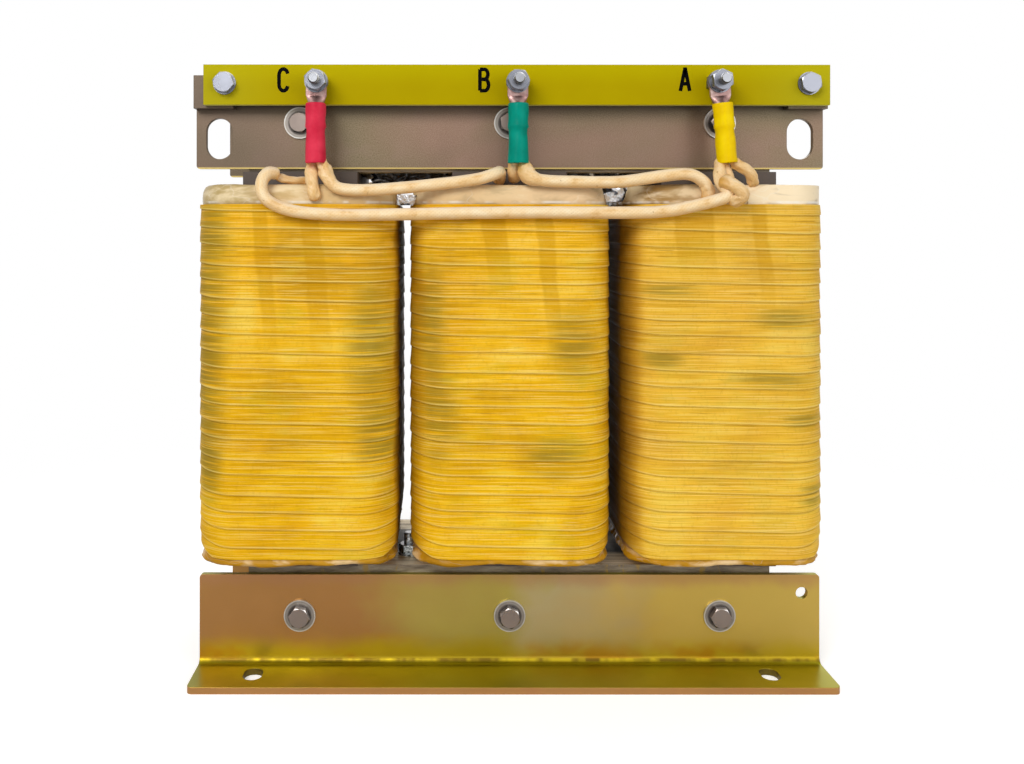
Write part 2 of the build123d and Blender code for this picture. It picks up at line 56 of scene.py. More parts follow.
# ---------------- node trees
class Nodes:
    """Adds nodes to a tree. A value is another node's output, or a plain number or vector."""

    def __init__(self, tree):
        self.tree = tree

    def node(self, kind, inputs=None, **settings):
        made = self.tree.nodes.new(kind)
        for key, value in settings.items():
            setattr(made, key, value)
        for key, value in (inputs or {}).items():
            self.feed(made.inputs[key], value)
        return made

    def feed(self, socket, value):
        if isinstance(value, bpy.types.NodeSocket):
            self.tree.links.new(value, socket)
        else:
            socket.default_value = value

    def places(self, scale=(1, 1, 1)):
        """Object coordinates, in metres times scale."""
        coordinates = self.node("ShaderNodeTexCoord").outputs["Object"]
        mapping = self.node("ShaderNodeMapping", {"Vector": coordinates, "Scale": scale})
        return mapping.outputs[0]

    def axes(self, vector):
        """A vector's parts, by the names X, Y and Z."""
        return self.node("ShaderNodeSeparateXYZ", {"Vector": vector}).outputs

    def normal(self):
        return self.node("ShaderNodeNewGeometry").outputs["Normal"]

    def attribute(self, name):
        return self.node("ShaderNodeAttribute", attribute_name=name).outputs["Fac"]

    def math(self, operation, *values):
        made = self.node("ShaderNodeMath", operation=operation)
        for socket, value in zip(made.inputs, values):
            self.feed(socket, value)
        return made.outputs[0]

    def times(self, a, b):
        return self.math("MULTIPLY", a, b)

    def times_plus(self, a, b, c):
        return self.math("MULTIPLY_ADD", a, b, c)

    def size(self, a):
        return self.math("ABSOLUTE", a)

    def gap(self, a, b):
        """How far apart two values are."""
        return self.size(self.math("SUBTRACT", a, b))

    def distance(self, a, b):
        """The long side of a right-angled triangle."""
        return self.math("SQRT", self.math("ADD", self.times(a, a), self.times(b, b)))

    def combine(self, x=0.0, y=0.0, z=0.0):
        return self.node("ShaderNodeCombineXYZ", {"X": x, "Y": y, "Z": z}).outputs[0]

    def noise(self, where, scale, detail=3.0, roughness=0.5, distortion=0.0):
        inputs = {"Vector": where, "Scale": scale, "Detail": detail, "Roughness": roughness}
        inputs["Distortion"] = distortion
        return self.node("ShaderNodeTexNoise", inputs).outputs["Fac"]

    def ramp(self, value, stops):
        """A colour ramp. Each stop is a place and a colour."""
        made = self.node("ShaderNodeValToRGB", {"Fac": value})
        elements = made.color_ramp.elements
        while len(elements) < len(stops):
            elements.new(0.5)
        for element, (place, colour) in zip(elements, stops):
            element.position = place
            element.color = (*colour, 1)
        return made.outputs["Color"]

    def mix(self, amount, a, b):
        """Colour a, or b where amount is 1."""
        made = self.node("ShaderNodeMix", data_type="RGBA")
        self.feed(made.inputs["Factor"], amount)
        for index, value in ((6, a), (7, b)):
            plain = not isinstance(value, bpy.types.NodeSocket)
            self.feed(made.inputs[index], (*value, 1) if plain else value)
        return made.outputs[2]

    def span(self, value, low, high, to_low=0.0, to_high=1.0):
        """Maps low..high smoothly to another span."""
        inputs = {"Value": value, "From Min": low, "From Max": high}
        inputs.update({"To Min": to_low, "To Max": to_high})
        made = self.node("ShaderNodeMapRange", inputs, interpolation_type="SMOOTHSTEP")
        return made.outputs["Result"]

    def tinted(self, base, *layers):
        """A colour with others over it, one by one. A layer is a value, where in it the
        colour begins and is at its full amount, that amount, and the colour."""
        for value, begins, full, amount, colour in layers:
            base = self.mix(self.span(value, begins, full, 0.0, amount), base, colour)
        return base


class Shader(Nodes):
    """A material built from nodes around one Principled shader. Its colour is laid up in
    base, layer by layer."""

    def __init__(self, name, **constants):
        self.material = bpy.data.materials.new(name)
        self.material.use_nodes = True
        super().__init__(self.material.node_tree)
        self.surface = self.tree.nodes["Principled BSDF"]
        self.base = None
        for socket, value in constants.items():
            self.surface.inputs[socket].default_value = value

    def lay(self, amount, colour):
        self.base = self.mix(amount, self.base, colour)

    def tint(self, *layers):
        self.base = self.tinted(self.base, *layers)

    def roughness(self, value):
        self.feed(self.surface.inputs["Roughness"], value)

    def relief(self, height, distance, strength=1.0, rounding=None):
        """Bump of the given height, in metres, over edges rounded in the light."""
        inputs = {"Height": height, "Distance": distance, "Strength": strength}
        if rounding:
            inputs["Normal"] = self.node("ShaderNodeBevel", {"Radius": rounding}, samples=4).outputs[0]
        self.feed(self.surface.inputs["Normal"], self.node("ShaderNodeBump", inputs).outputs[0])

    def finish(self):
        self.feed(self.surface.inputs["Base Color"], self.base)
        return self.material


# ---------------- camera, light and floor
CAMERA_AT = (-0.056, -0.836, 0.3365)
LENS = 35.51
SENSOR = 36.0
SHIFT = (0.0739, -0.1504)
ROLL = math.radians(0.03)
ROOM_LIGHT = 0.42
FLOOR_REACH = 2.0
FLOOR_PAINT = (0.92, 0.92, 0.92, 1)
FLOOR_GLOW = 0.42
FLOOR_FADE = (0.4, 0.85)  # how far from the middle the floor begins and ends to fade
MIDDLE = (0.0, 0.0, 0.23)


def make_camera():
    data = bpy.data.cameras.new("camera")
    data.lens = LENS
    data.sensor_width = SENSOR
    data.shift_x, data.shift_y = SHIFT
    data.clip_start = 0.01
    camera = bpy.data.objects.new("camera", data)
    turn = Matrix.Rotation(math.radians(90), 4, "X") @ Matrix.Rotation(ROLL, 4, "Z")
    camera.matrix_world = Matrix.Translation(CAMERA_AT) @ turn
    bpy.context.scene.collection.objects.link(camera)
    bpy.context.scene.camera = camera


def area_light(name, at, size, power):
    """A rectangular light that shines at the middle of the transformer."""
    data = bpy.data.lights.new(name, "AREA")
    data.shape = "RECTANGLE"
    data.size, data.size_y = size
    data.energy = power
    light = bpy.data.objects.new(name, data)
    light.location = at
    light.rotation_euler = (Vector(MIDDLE) - Vector(at)).to_track_quat("-Z", "Y").to_euler()
    bpy.context.scene.collection.objects.link(light)


def make_world():
    """White where the camera or a reflection looks, and an even grey light elsewhere."""
    world = bpy.data.worlds.new("studio")
    bpy.context.scene.world = world
    world.use_nodes = True
    world.node_tree.nodes.clear()
    w = Nodes(world.node_tree)
    ray = w.node("ShaderNodeLightPath").outputs
    mirrored = w.math("MAXIMUM", ray["Is Glossy Ray"], ray["Is Transmission Ray"])
    seen = w.math("MAXIMUM", ray["Is Camera Ray"], mirrored)
    dim = w.node("ShaderNodeBackground", {"Color": (0.95, 0.98, 1.0, 1), "Strength": ROOM_LIGHT})
    white = w.node("ShaderNodeBackground", {"Color": (1, 1, 1, 1), "Strength": 1.0})
    both = w.node("ShaderNodeMixShader", {"Fac": seen, 1: dim.outputs[0], 2: white.outputs[0]})
    w.node("ShaderNodeOutputWorld", {"Surface": both.outputs[0]})


def make_floor():
    """A pale floor that takes the shadow and fades into the white background."""
    mesh = bpy.data.meshes.new("floor")
    corners = [(x * FLOOR_REACH, y * FLOOR_REACH, 0) for x, y in ((-1, -1), (1, -1), (1, 1), (-1, 1))]
    mesh.from_pydata(corners, [], [(0, 1, 2, 3)])
    floor = bpy.data.objects.new("floor", mesh)
    bpy.context.scene.collection.objects.link(floor)
    material = bpy.data.materials.new("floor_white")
    material.use_nodes = True
    material.node_tree.nodes.clear()
    f = Nodes(material.node_tree)
    paint = f.node("ShaderNodeBsdfDiffuse", {"Color": FLOOR_PAINT})
    camera_ray = f.node("ShaderNodeLightPath").outputs["Is Camera Ray"]
    glow = f.node("ShaderNodeEmission", {"Strength": f.times(camera_ray, FLOOR_GLOW)})
    lit = f.node("ShaderNodeAddShader", {0: paint.outputs[0], 1: glow.outputs[0]})
    far = f.node("ShaderNodeVectorMath", {0: f.places()}, operation="LENGTH").outputs["Value"]
    kept = f.span(far, *FLOOR_FADE, 1.0, 0.0)
    clear = f.node("ShaderNodeBsdfTransparent")
    fade = f.node("ShaderNodeMixShader", {"Fac": kept, 1: clear.outputs[0], 2: lit.outputs[0]})
    f.node("ShaderNodeOutputMaterial", {"Surface": fade.outputs[0]})
    mesh.materials.append(material)


make_camera()
make_world()
make_floor()
area_light("key", (-0.8, -1.7, 1.3), (1.0, 0.9), 23)
area_light("fill", (1.2, -1.5, 0.7), (1.2, 1.2), 7.6)
area_light("back", (0.3, 1.5, 1.4), (1.4, 1.0), 10)


# ---------------- steel, board and core finishes
YOKE_WASHER = 24 * MM  # across
PALE_BRONZE = (0.52, 0.42, 0.31)
# Colour stops: a place and its colour. The first goes from the clamp's left to its right.
ANGLE_ACROSS = [
    (0.12, (0.42, 0.2, 0.06)), (0.27, (0.43, 0.32, 0.07)), (0.48, (0.44, 0.37, 0.07)),
    (0.62, (0.48, 0.4, 0.2)), (0.74, (0.49, 0.37, 0.16)), (0.9, (0.58, 0.39, 0.075)),
]
ANGLE_DRIFT = [(0.4, (0.3, 0.15, 0.03)), (0.6, (0.44, 0.32, 0.06))]
ANGLE_FOOT = [(0.35, (0.235, 0.205, 0.001)), (0.65, (0.3, 0.27, 0.004))]
PLATE_DRIFT = [(0.38, (0.108, 0.092, 0.048)), (0.5, (0.14, 0.099, 0.055)), (0.62, (0.19, 0.112, 0.078))]
PLATE_SHADE = (0.07, 0.056, 0.04)
# From a washer's middle to its rim: a painted shade ring round the head, then a painted highlight at the
# rim.
WASHER_SHADE_RINGS = [
    (0.62, (0.05, 0.042, 0.038)), (0.72, (0.1, 0.085, 0.075)), (0.8, (0.3, 0.27, 0.24)),
    (0.9, (0.26, 0.23, 0.2)), (0.97, (0.6, 0.58, 0.54)),
]
CUT_SHEETS = [(0.4, (0.16, 0.11, 0.06)), (0.47, (0.66, 0.54, 0.34)), (0.58, (0.98, 0.86, 0.64))]
COPPER_PINKS = [(0.3, (0.26, 0.13, 0.12)), (0.5, (0.42, 0.25, 0.23)), (0.74, (0.72, 0.55, 0.5))]
VARNISHED_SHEET = [(0.35, (0.12, 0.09, 0.058)), (0.52, (0.25, 0.2, 0.14)), (0.68, (0.42, 0.36, 0.26))]


def passivated(name, stops, patch_scale, shine, haze, haze_amount):
    """Zinc-plated steel, passivated yellow: a thin film whose colour drifts across the sheet."""
    s = Shader(name, Metallic=0.82)
    where = s.places()
    drift = s.noise(s.places((1, 1, 1.6)), patch_scale, 2, 0.5, 0.5)
    clouds = s.noise(where, 21, 4, 0.6)
    fine = s.noise(where, 1400, 2, 0.7)
    s.roughness(s.span(clouds, 0.3, 0.7, shine - 0.05, shine + 0.09))
    s.relief(fine, 0.00001, 0.08, rounding=0.0007)
    s.base = s.ramp(drift, stops)
    s.tint((clouds, 0.5, 0.72, haze_amount, haze), (fine, 0.38, 0.62, 0.2, PALE_BRONZE))
    return s


def upper_plate():
    """The upper clamps: dark bronze, with painted shade at the left, a painted shadow under the board and
    a painted gold highlight along the lower edge.
    """
    s = passivated("upper_plate", PLATE_DRIFT, 5.5, 0.38, (0.23, 0.14, 0.12), 0.3)
    place = s.axes(s.places())
    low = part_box("upper_clamp_front")[0]
    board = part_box("terminal_board_front")[0].z
    # Painted shade at the left end, a painted shadow under the board and a painted gold highlight along
    # the lower edge.
    s.tint(
        (place["X"], low.x + 0.12, low.x + 0.03, 0.55, PLATE_SHADE),
        (place["Z"], board - 14 * MM, board, 0.55, PLATE_SHADE),
        (place["Z"], low.z + 1.6 * MM, low.z + 0.4 * MM, 1.0, (0.56, 0.42, 0.14)),
    )
    return s.finish()


def folded_angle():
    """The lower clamps: pink-brown at the left of the web, then olive, grey and amber; a painted
    gold highlight where the sheet was bent, and a glossy olive foot with a pinkish front edge."""
    s = passivated("lower_angle", ANGLE_DRIFT, 6.0, 0.33, (0.46, 0.25, 0.1), 0.25)
    where = s.places()
    place = s.axes(where)
    height, up = place["Z"], s.axes(s.normal())["Z"]
    low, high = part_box("lower_clamp_front")
    wander = s.times_plus(s.noise(where, 11, 4, 0.6), 0.2, -0.1)
    share = s.span(s.math("ADD", place["X"], wander), low.x, high.x)
    s.lay(0.78, s.ramp(share, ANGLE_ACROSS))
    # The low strip of the web is amber, burnt in places, and its top edge brown.
    ragged = s.times_plus(s.noise(where, 14, 4, 0.6), 0.026, s.math("SUBTRACT", height, 0.013))
    amber = s.span(ragged, 28 * MM, 10 * MM)
    s.lay(s.times(amber, 0.85), (0.52, 0.36, 0.006))
    burnt = s.span(s.noise(s.places((1, 1, 1.5)), 17, 3, 0.6), 0.5, 0.64, 0, 0.55)
    s.lay(s.times(amber, burnt), (0.46, 0.16, 0.004))
    s.tint((ragged, 60 * MM, 71 * MM, 0.55, (0.4, 0.19, 0.09)))
    foot = s.ramp(s.noise(where, 12, 3), ANGLE_FOOT)
    foot = s.tinted(foot, (s.noise(where, 420, 3, 0.8), 0.66, 0.78, 0.5, (0.6, 0.52, 0.2)))
    s.lay(s.span(up, 0.35, 0.9), foot)
    # Along the bend, a painted gold highlight, darker in stretches.
    bend = s.times(s.span(up, 0.15, 0.45), s.span(up, 0.95, 0.6))
    bend = s.times(bend, s.span(height, 16 * MM, 10 * MM))
    bend_highlight_breaks = s.span(s.noise(s.places((1, 0.1, 0.1)), 38, 3, 0.7), 0.42, 0.62)
    bend_highlight = s.mix(bend_highlight_breaks, (0.11, 0.06, 0.001), (0.42, 0.3, 0.006))
    s.lay(s.times(bend, 0.9), bend_highlight)
    # The foot's cut edge is pinkish; the slots' edges inside it are dark.
    edge_on = s.times(s.span(height, 5.6 * MM, 4.4 * MM), s.span(up, 0.6, 0.2))
    beside = s.span(s.size(place["X"]), high.x - 4 * MM, high.x - 2 * MM)
    ahead = s.span(s.size(place["Y"]), -low.y - 4 * MM, -low.y - 2 * MM)
    rim = s.mix(s.math("MAXIMUM", beside, ahead), (0.16, 0.12, 0.03), (0.52, 0.26, 0.11))
    s.lay(s.times(edge_on, 0.85), rim)
    return s.finish()


def washer_steel():
    """The yoke bolts' washers: grey steel, with painted shade round the head and a painted highlight at
    the rim.
    """
    s = Shader("washer_steel", Metallic=0.85)
    where = s.places()
    low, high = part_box("yoke_bolt_washers")
    radius = YOKE_WASHER / 2
    place = s.axes(where)
    wide = s.size(place["X"])
    across = s.math("MINIMUM", wide, s.gap(wide, high.x - radius))
    up = s.math("MINIMUM", s.gap(place["Z"], low.z + radius), s.gap(place["Z"], high.z - radius))
    # Painted shade round the head and a painted highlight at the rim.
    s.base = s.ramp(s.math("DIVIDE", s.distance(across, up), radius), WASHER_SHADE_RINGS)
    clouds = s.noise(where, 90, 2, 0.5)
    s.tint((clouds, 0.4, 0.7, 0.3, (0.2, 0.17, 0.15)))
    s.roughness(s.span(clouds, 0.3, 0.7, 0.28, 0.36))
    return s.finish()


def zinc(name, colour, rough, thread=0.0, coarse=0.0):
    """Bright plated or stainless steel, with painted shade where it faces down and a painted
    highlight where it faces up. A thread is drawn with its pitch, along Y. Coarse plating is grainy."""
    s = Shader(name, Metallic=0.85)
    where = s.places()
    clouds = s.noise(where, 60, 2, 0.5)
    s.base = s.ramp(clouds, [(0.32, tuple(0.88 * c for c in colour)), (0.62, colour)])
    if coarse:
        grain = s.noise(where, 420, 3, 0.6)
        pits, crests = (0.04, 0.05, 0.05), (0.9, 0.95, 0.98)
        s.tint((grain, 0.47, 0.4, coarse, pits), (grain, 0.53, 0.6, coarse, crests))
    # Painted shade on faces that turn down and a painted highlight on faces that turn up.
    inputs = {0: s.normal(), 1: (0.45, 0.0, 0.89)}
    lit = s.node("ShaderNodeVectorMath", inputs, operation="DOT_PRODUCT").outputs["Value"]
    under, over = (0.035, 0.03, 0.028), (0.88, 0.87, 0.86)
    s.tint((lit, -0.1, -0.65, 0.85, under), (lit, 0.2, 0.7, 0.85, over))
    s.roughness(s.span(clouds, 0.3, 0.75, rough - 0.03, rough + 0.04))
    if thread:
        turns = s.times(s.axes(where)["Y"], 2 * math.pi / thread)
        s.relief(s.math("SINE", turns), 0.0003, 0.7)
    else:
        s.relief(s.noise(s.places((1, 1, 0.12)), 1500, 2, 0.6), 0.00001, 0.15)
    return s.finish()


def epoxy_board():
    """Yellow-green epoxy-glass sheet: smooth, faintly cloudy, paler where it is cut."""
    s = Shader("epoxy_board", Roughness=0.34, IOR=1.08)
    where = s.places()
    place = s.axes(where)
    low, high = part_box("terminal_board_front")
    clouds = s.noise(where, 9, 4, 0.6)
    s.base = s.ramp(clouds, [(0.32, (0.41, 0.3, 0.0003)), (0.68, (0.45, 0.345, 0.0006))])
    s.tint(
        (s.size(place["X"]), 0.165, 0.235, 0.55, (0.47, 0.43, 0.015)),
        (place["Z"], low.z + 0.012, high.z, 0.45, (0.53, 0.46, 0.001)),
        (s.size(s.axes(s.normal())["Y"]), 0.5, 0.2, 1.0, (0.66, 0.62, 0.16)),
    )
    s.relief(s.noise(where, 1100, 1, 0.5), 0.00003, 0.2, rounding=0.0006)
    return s.finish()


def laminations():
    """Stacked electrical sheet: varnished and plain on its face, finely striped on its cut
    edges, and dark on the lower yoke's top, in the shade under the coils."""
    s = Shader("laminations", Metallic=0.4)
    place, facing = s.axes(s.places()), s.axes(s.normal())
    stack = s.noise(s.places((0.003, 1, 0.003)), 1100, 3, 0.8)
    wide = s.noise(s.places((0.012, 1, 0.012)), 190, 2, 0.6)
    both = s.times_plus(stack, 0.6, s.times(wide, 0.4))
    streaks = s.noise(s.places((1, 1, 7)), 34, 4, 0.65)
    drips = s.noise(s.places((1, 1, 0.35)), 130, 3, 0.6)
    face = s.tinted(s.ramp(streaks, VARNISHED_SHEET), (drips, 0.62, 0.7, 0.7, (0.4, 0.24, 0.03)))
    edge_on = s.span(s.size(facing["Y"]), 0.6, 0.4)
    s.base = s.mix(edge_on, face, s.ramp(both, CUT_SHEETS))
    lower_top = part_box("yoke_lower")[1].z
    shade = s.times(s.span(s.size(place["Y"]), 34 * MM, 28 * MM), s.span(facing["Z"], 0.4, 0.8))
    shade = s.times(shade, s.span(place["Z"], lower_top + 0.02, lower_top + 0.01))
    s.lay(s.times(shade, 0.92), (0.008, 0.006, 0.005))
    s.roughness(s.span(streaks, 0.3, 0.7, 0.35, 0.6))
    s.relief(s.times(both, edge_on), 0.0003, 0.8)
    return s.finish()


# ---------------- insulation and lead finishes
BRAID_CLOTH = [(0.3, (0.78, 0.46, 0.17)), (0.44, (0.92, 0.64, 0.32)), (0.68, (0.97, 0.78, 0.5))]
BRAID_TURNS, BRAID_PITCHES = 11.0, 330.0  # threads round a lead, and threads in a metre of it
TAPE_UPPER = [
    (0.36, (0.5, 0.25, 0.008)), (0.45, (0.78, 0.4, 0.009)), (0.53, (0.92, 0.5, 0.014)),
    (0.63, (0.97, 0.66, 0.09)),
]
TAPE_LOWER = [
    (0.36, (0.58, 0.28, 0.002)), (0.45, (0.8, 0.42, 0.003)), (0.53, (0.92, 0.52, 0.006)),
    (0.63, (0.97, 0.68, 0.07)),
]
BAND_TOP = 354 * MM  # where a band's middle is given
# The colour of the painted highlights along the films' creases.
CREAM_HIGHLIGHT = (0.98, 0.93, 0.84)


def braid():
    """Varnished glass braid over a lead: two sets of fine threads that cross on the slant."""
    s = Shader("lead_braid", IOR=1.45)
    along, around = s.attribute("along"), s.attribute("around")
    up = s.axes(s.normal())["Z"]
    down_lead = s.times(along, 2 * math.pi * BRAID_PITCHES)
    across = s.times(around, 2 * math.pi * BRAID_TURNS)
    one = s.math("SINE", s.math("ADD", down_lead, across))
    other = s.math("SINE", s.math("SUBTRACT", down_lead, across))
    threads = s.math("MAXIMUM", one, s.times(other, 0.55))
    soak = s.noise(s.combine(s.times(along, 60), s.times(around, 3)), 1, 4, 0.6)
    s.base = s.ramp(soak, BRAID_CLOTH)
    s.lay(s.span(threads, -0.6, 1.0, 0.16, 0.0), (0.52, 0.32, 0.12))
    # Dark spots, painted shade on the lead's underside and a painted highlight along its top.
    s.tint(
        (s.noise(s.places(), 260, 2, 0.5), 0.7, 0.76, 0.55, (0.36, 0.16, 0.04)),
        (up, 0.15, -0.85, 0.55, (0.6, 0.33, 0.1)),
        (up, 0.35, 0.85, 0.45, (1.0, 0.86, 0.66)),
    )
    s.lay(s.attribute("resin"), (0.66, 0.35, 0.075))
    s.roughness(s.span(soak, 0.3, 0.7, 0.26, 0.42))
    s.relief(threads, 0.00012, 0.45)
    return s.finish()


def tape(name, bands, stains, pale, shaded_sides):
    """Varnished tape: fibres along the tape, a painted highlight where varnish pooled at each lap
    and painted shade just under it, darker bands where the leads run under it, painted shade on
    the sides that face a neighbouring coil, and old varnish stains.

    A band is its middle at the coil's top, half width and lower end, in millimetres; it
    drifts to the right on its way down. A stain is its middle and size, in millimetres.
    Shaded sides lists the coil's sides that take painted shade from the neighbouring coil: the
    side's place and how far in the shade reaches, in metres, which way it faces, and how dark."""
    s = Shader(name, IOR=1.12)
    where = s.places()
    place = s.axes(where)
    x, y, z = (place[axis] for axis in "XYZ")
    along, height, lap = s.attribute("along"), s.attribute("height"), s.attribute("lap")

    def strands(lengthwise, crosswise, detail, roughness):
        """Noise drawn out along the tape."""
        stretched = s.combine(s.times(along, lengthwise), s.times(height, crosswise))
        return s.noise(stretched, 1, detail, roughness)

    fibres = strands(14, 1100, 4, 0.62)
    streaks = strands(6, 300, 4, 0.65)
    threads = strands(20, 620, 2, 0.55)
    clouds = s.noise(where, 15, 4, 0.55, 0.4)
    warm = s.noise(s.places((1, 1, 1.7)), 26, 3, 0.6)
    mottle = s.noise(s.places((1.6, 1.6, 1)), 330, 3, 0.6)
    mixed = s.times_plus(streaks, 0.45, s.times(clouds, 0.55))
    s.base = s.mix(s.span(z, 0.33, 0.14), s.ramp(mixed, TAPE_UPPER), s.ramp(mixed, TAPE_LOWER))
    s.tint((warm, 0.52, 0.72, 0.4, (0.88, 0.4, 0.006)), (warm, 0.46, 0.3, 0.35, (0.6, 0.46, 0.02)))
    s.lay(pale, (0.86, 0.55, 0.13))
    s.tint(
        (fibres, 0.5, 0.64, 0.5, (0.99, 0.76, 0.22)),
        (fibres, 0.5, 0.36, 0.45, (0.48, 0.235, 0.004)),
        (threads, 0.66, 0.73, 0.5, (1.0, 0.78, 0.26)),
        (threads, 0.34, 0.27, 0.6, (0.36, 0.17, 0.004)),
        (mottle, 0.46, 0.34, 0.16, (0.5, 0.23, 0.004)),
        (s.attribute("tone"), 0.0, 1.0, 0.25, (0.62, 0.33, 0.006)),
    )
    front = s.span(y, 0.0, -0.04)
    x_loose = s.math("ADD", x, s.times_plus(s.noise(where, 22, 3, 0.6), 0.01, -0.005))
    drifted = s.times_plus(s.math("SUBTRACT", z, BAND_TOP), 0.1, x_loose)
    for middle, half, low in bands:
        inside = s.span(s.gap(drifted, middle * MM), (half + 1.4) * MM, (half - 1.4) * MM)
        fade = s.span(z, (low - 30) * MM, (low + 35) * MM)
        amount = s.times(s.times(inside, fade), front)
        s.lay(s.times(amount, 0.46), (0.56, 0.27, 0.001))
    for (middle_x, middle_z), (wide, tall) in stains:
        across = s.math("DIVIDE", s.math("SUBTRACT", x_loose, middle_x * MM), wide * MM)
        up = s.math("DIVIDE", s.math("SUBTRACT", z, middle_z * MM), tall * MM)
        patch = s.times(s.span(s.distance(across, up), 1.3, 0.2), s.span(streaks, 0.36, 0.56))
        s.lay(s.times(s.times(patch, front), 0.72), (0.25, 0.17, 0.018))
    # A painted highlight along each lap's lip, stronger where varnish pooled, and painted shade just under
    # the lip of the turn above.
    pooled_sheen = s.span(s.noise(s.combine(s.times(along, 9)), 1, 2), 0.35, 0.65, 0.25, 1)
    lap_highlight = s.times(s.span(lap, 0.13, 0.02, 0.0, 0.7), pooled_sheen)
    s.lay(lap_highlight, (1.0, 0.76, 0.2))
    s.tint((lap, 0.87, 0.97, 0.85, (0.2, 0.085, 0.002)))
    # Painted shade on the sides that face a neighbouring coil.
    for side, way, reach, dark in shaded_sides:
        inward = s.times(s.math("SUBTRACT", x_loose, side), float(-way))
        s.tint(
            (inward, reach * 1.25, reach * 0.55, dark * 0.62, (0.38, 0.15, 0.0005)),
            (inward, reach * 0.95, -reach * 0.1, dark, (0.06, 0.018, 0.0005)),
        )
    s.roughness(s.span(streaks, 0.3, 0.7, 0.38, 0.56))
    s.relief(s.times_plus(fibres, 0.45, s.times(streaks, 0.8)), 0.0006, 0.7)
    return s.finish()


def film(name, reach, left, right, patch, shine, rim=None):
    """Smooth clear film over paper: varnish trapped under it in soft patches, a few long creases
    with painted highlights along them and, at the rim, a painted highlight along the fold where the tape
    holds it down."""
    s = Shader(name, IOR=1.22)
    place = s.axes(s.places())
    trapped = s.noise(s.places((1, 1, 2.6)), 26, 4, 0.55, 0.3)
    creases = s.noise(s.places((1, 1, 2.4)), 24, 2, 0.45, 0.4)
    s.base = s.mix(s.span(place["X"], reach[0] + 0.01, reach[1] - 0.03), left, right)
    # Lighter and darker patches of trapped varnish, and thin painted highlights along the creases.
    s.tint(
        (trapped, 0.5, 0.64, 0.68, patch),
        (trapped, 0.48, 0.32, 0.55, tuple(0.55 * c for c in left)),
        (s.gap(creases, 0.53), 0.006, 0.001, shine, CREAM_HIGHLIGHT),
    )
    # A painted highlight along the fold just above the tape, broken in places.
    if rim:
        near = s.gap(place["Z"], rim + 1.6 * MM)
        rim_highlight_breaks = s.span(s.noise(s.places((1, 1, 0.1)), 55, 2, 0.6), 0.44, 0.58)
        line = s.times(s.span(near, 1.4 * MM, 0.2 * MM, 0.0, 0.65), rim_highlight_breaks)
        s.lay(line, (1.0, 0.95, 0.85))
    s.roughness(s.span(creases, 0.3, 0.7, 0.14, 0.36))
    s.relief(creases, 0.003, 0.6)
    return s.finish()


def clear_film(name, dark):
    """Crumpled clear film: silvery where it catches the light, else nearly black. Dark is the
    share of it that is black."""
    s = Shader(name, Metallic=0.3, Roughness=0.12)
    creases = s.noise(s.places((1, 1, 1.6)), 62, 2, 0.5, 0.8)
    black, grey, silver = (0.01, 0.009, 0.01), (0.16, 0.17, 0.2), (0.9, 0.92, 0.95)
    s.base = s.ramp(creases, [(dark, black), (dark + 0.05, grey), (dark + 0.1, silver)])
    s.relief(creases, 0.002, 0.7)
    return s.finish()


def cloudy(name, stops, rough, clouds=(60, 4, 0.6), grain=(900, 2), relief=(0.0001, 0.5), **constants):
    """A finish whose colour and gloss drift in clouds, over a fine grain."""
    s = Shader(name, **constants)
    where = s.places()
    drift = s.noise(where, *clouds)
    s.base = s.ramp(drift, stops)
    s.roughness(s.span(drift, 0.3, 0.7, *rough))
    s.relief(s.noise(where, *grain, 0.6), *relief)
    return s.finish()


def black_ink():
    s = Shader("black_ink", IOR=1.08)
    where = s.places()
    s.base = s.ramp(s.noise(where, 400, 2), [(0.3, (0.001,) * 3), (0.7, (0.004,) * 3)])
    s.roughness(s.span(s.noise(where, 200), 0.3, 0.7, 0.35, 0.5))
    return s.finish()


# ---------------- mesh helpers
def clamp(value, low=0.0, high=1.0):
    return max(low, min(high, value))


def dress(material, *names):
    """Gives CAD nodes their finish."""
    for name in names:
        mesh = nodes[name].data
        mesh.materials.clear()
        mesh.materials.append(material)


def add_piece(name, points, faces, material, replaced=(), attributes=None, smooth=True):
    """A mesh piece that rides on the transformer's one body."""
    mesh = bpy.data.meshes.new(name)
    mesh.from_pydata(points, [], faces)
    for key, values in (attributes or {}).items():
        layer = mesh.attributes.new(key, "FLOAT", "POINT")
        layer.data.foreach_set("value", values)
    mesh.validate()
    mesh.update()
    mesh.polygons.foreach_set("use_smooth", [smooth] * len(mesh.polygons))
    mesh.materials.append(material)
    piece = bpy.data.objects.new(name, mesh)
    bpy.context.scene.collection.objects.link(piece)
    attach(piece, "root")
    if replaced:
        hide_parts(*replaced)


def grid_faces(rows, columns, closed, flip=False):
    """Quads between rows of points; a closed row joins its last point to its first."""
    faces = []
    last = columns if closed else columns - 1
    for r in range(rows - 1):
        for c in range(last):
            d = (c + 1) % columns
            quad = (r * columns + c, r * columns + d, (r + 1) * columns + d, (r + 1) * columns + c)
            faces.append(tuple(reversed(quad)) if flip else quad)
    return faces


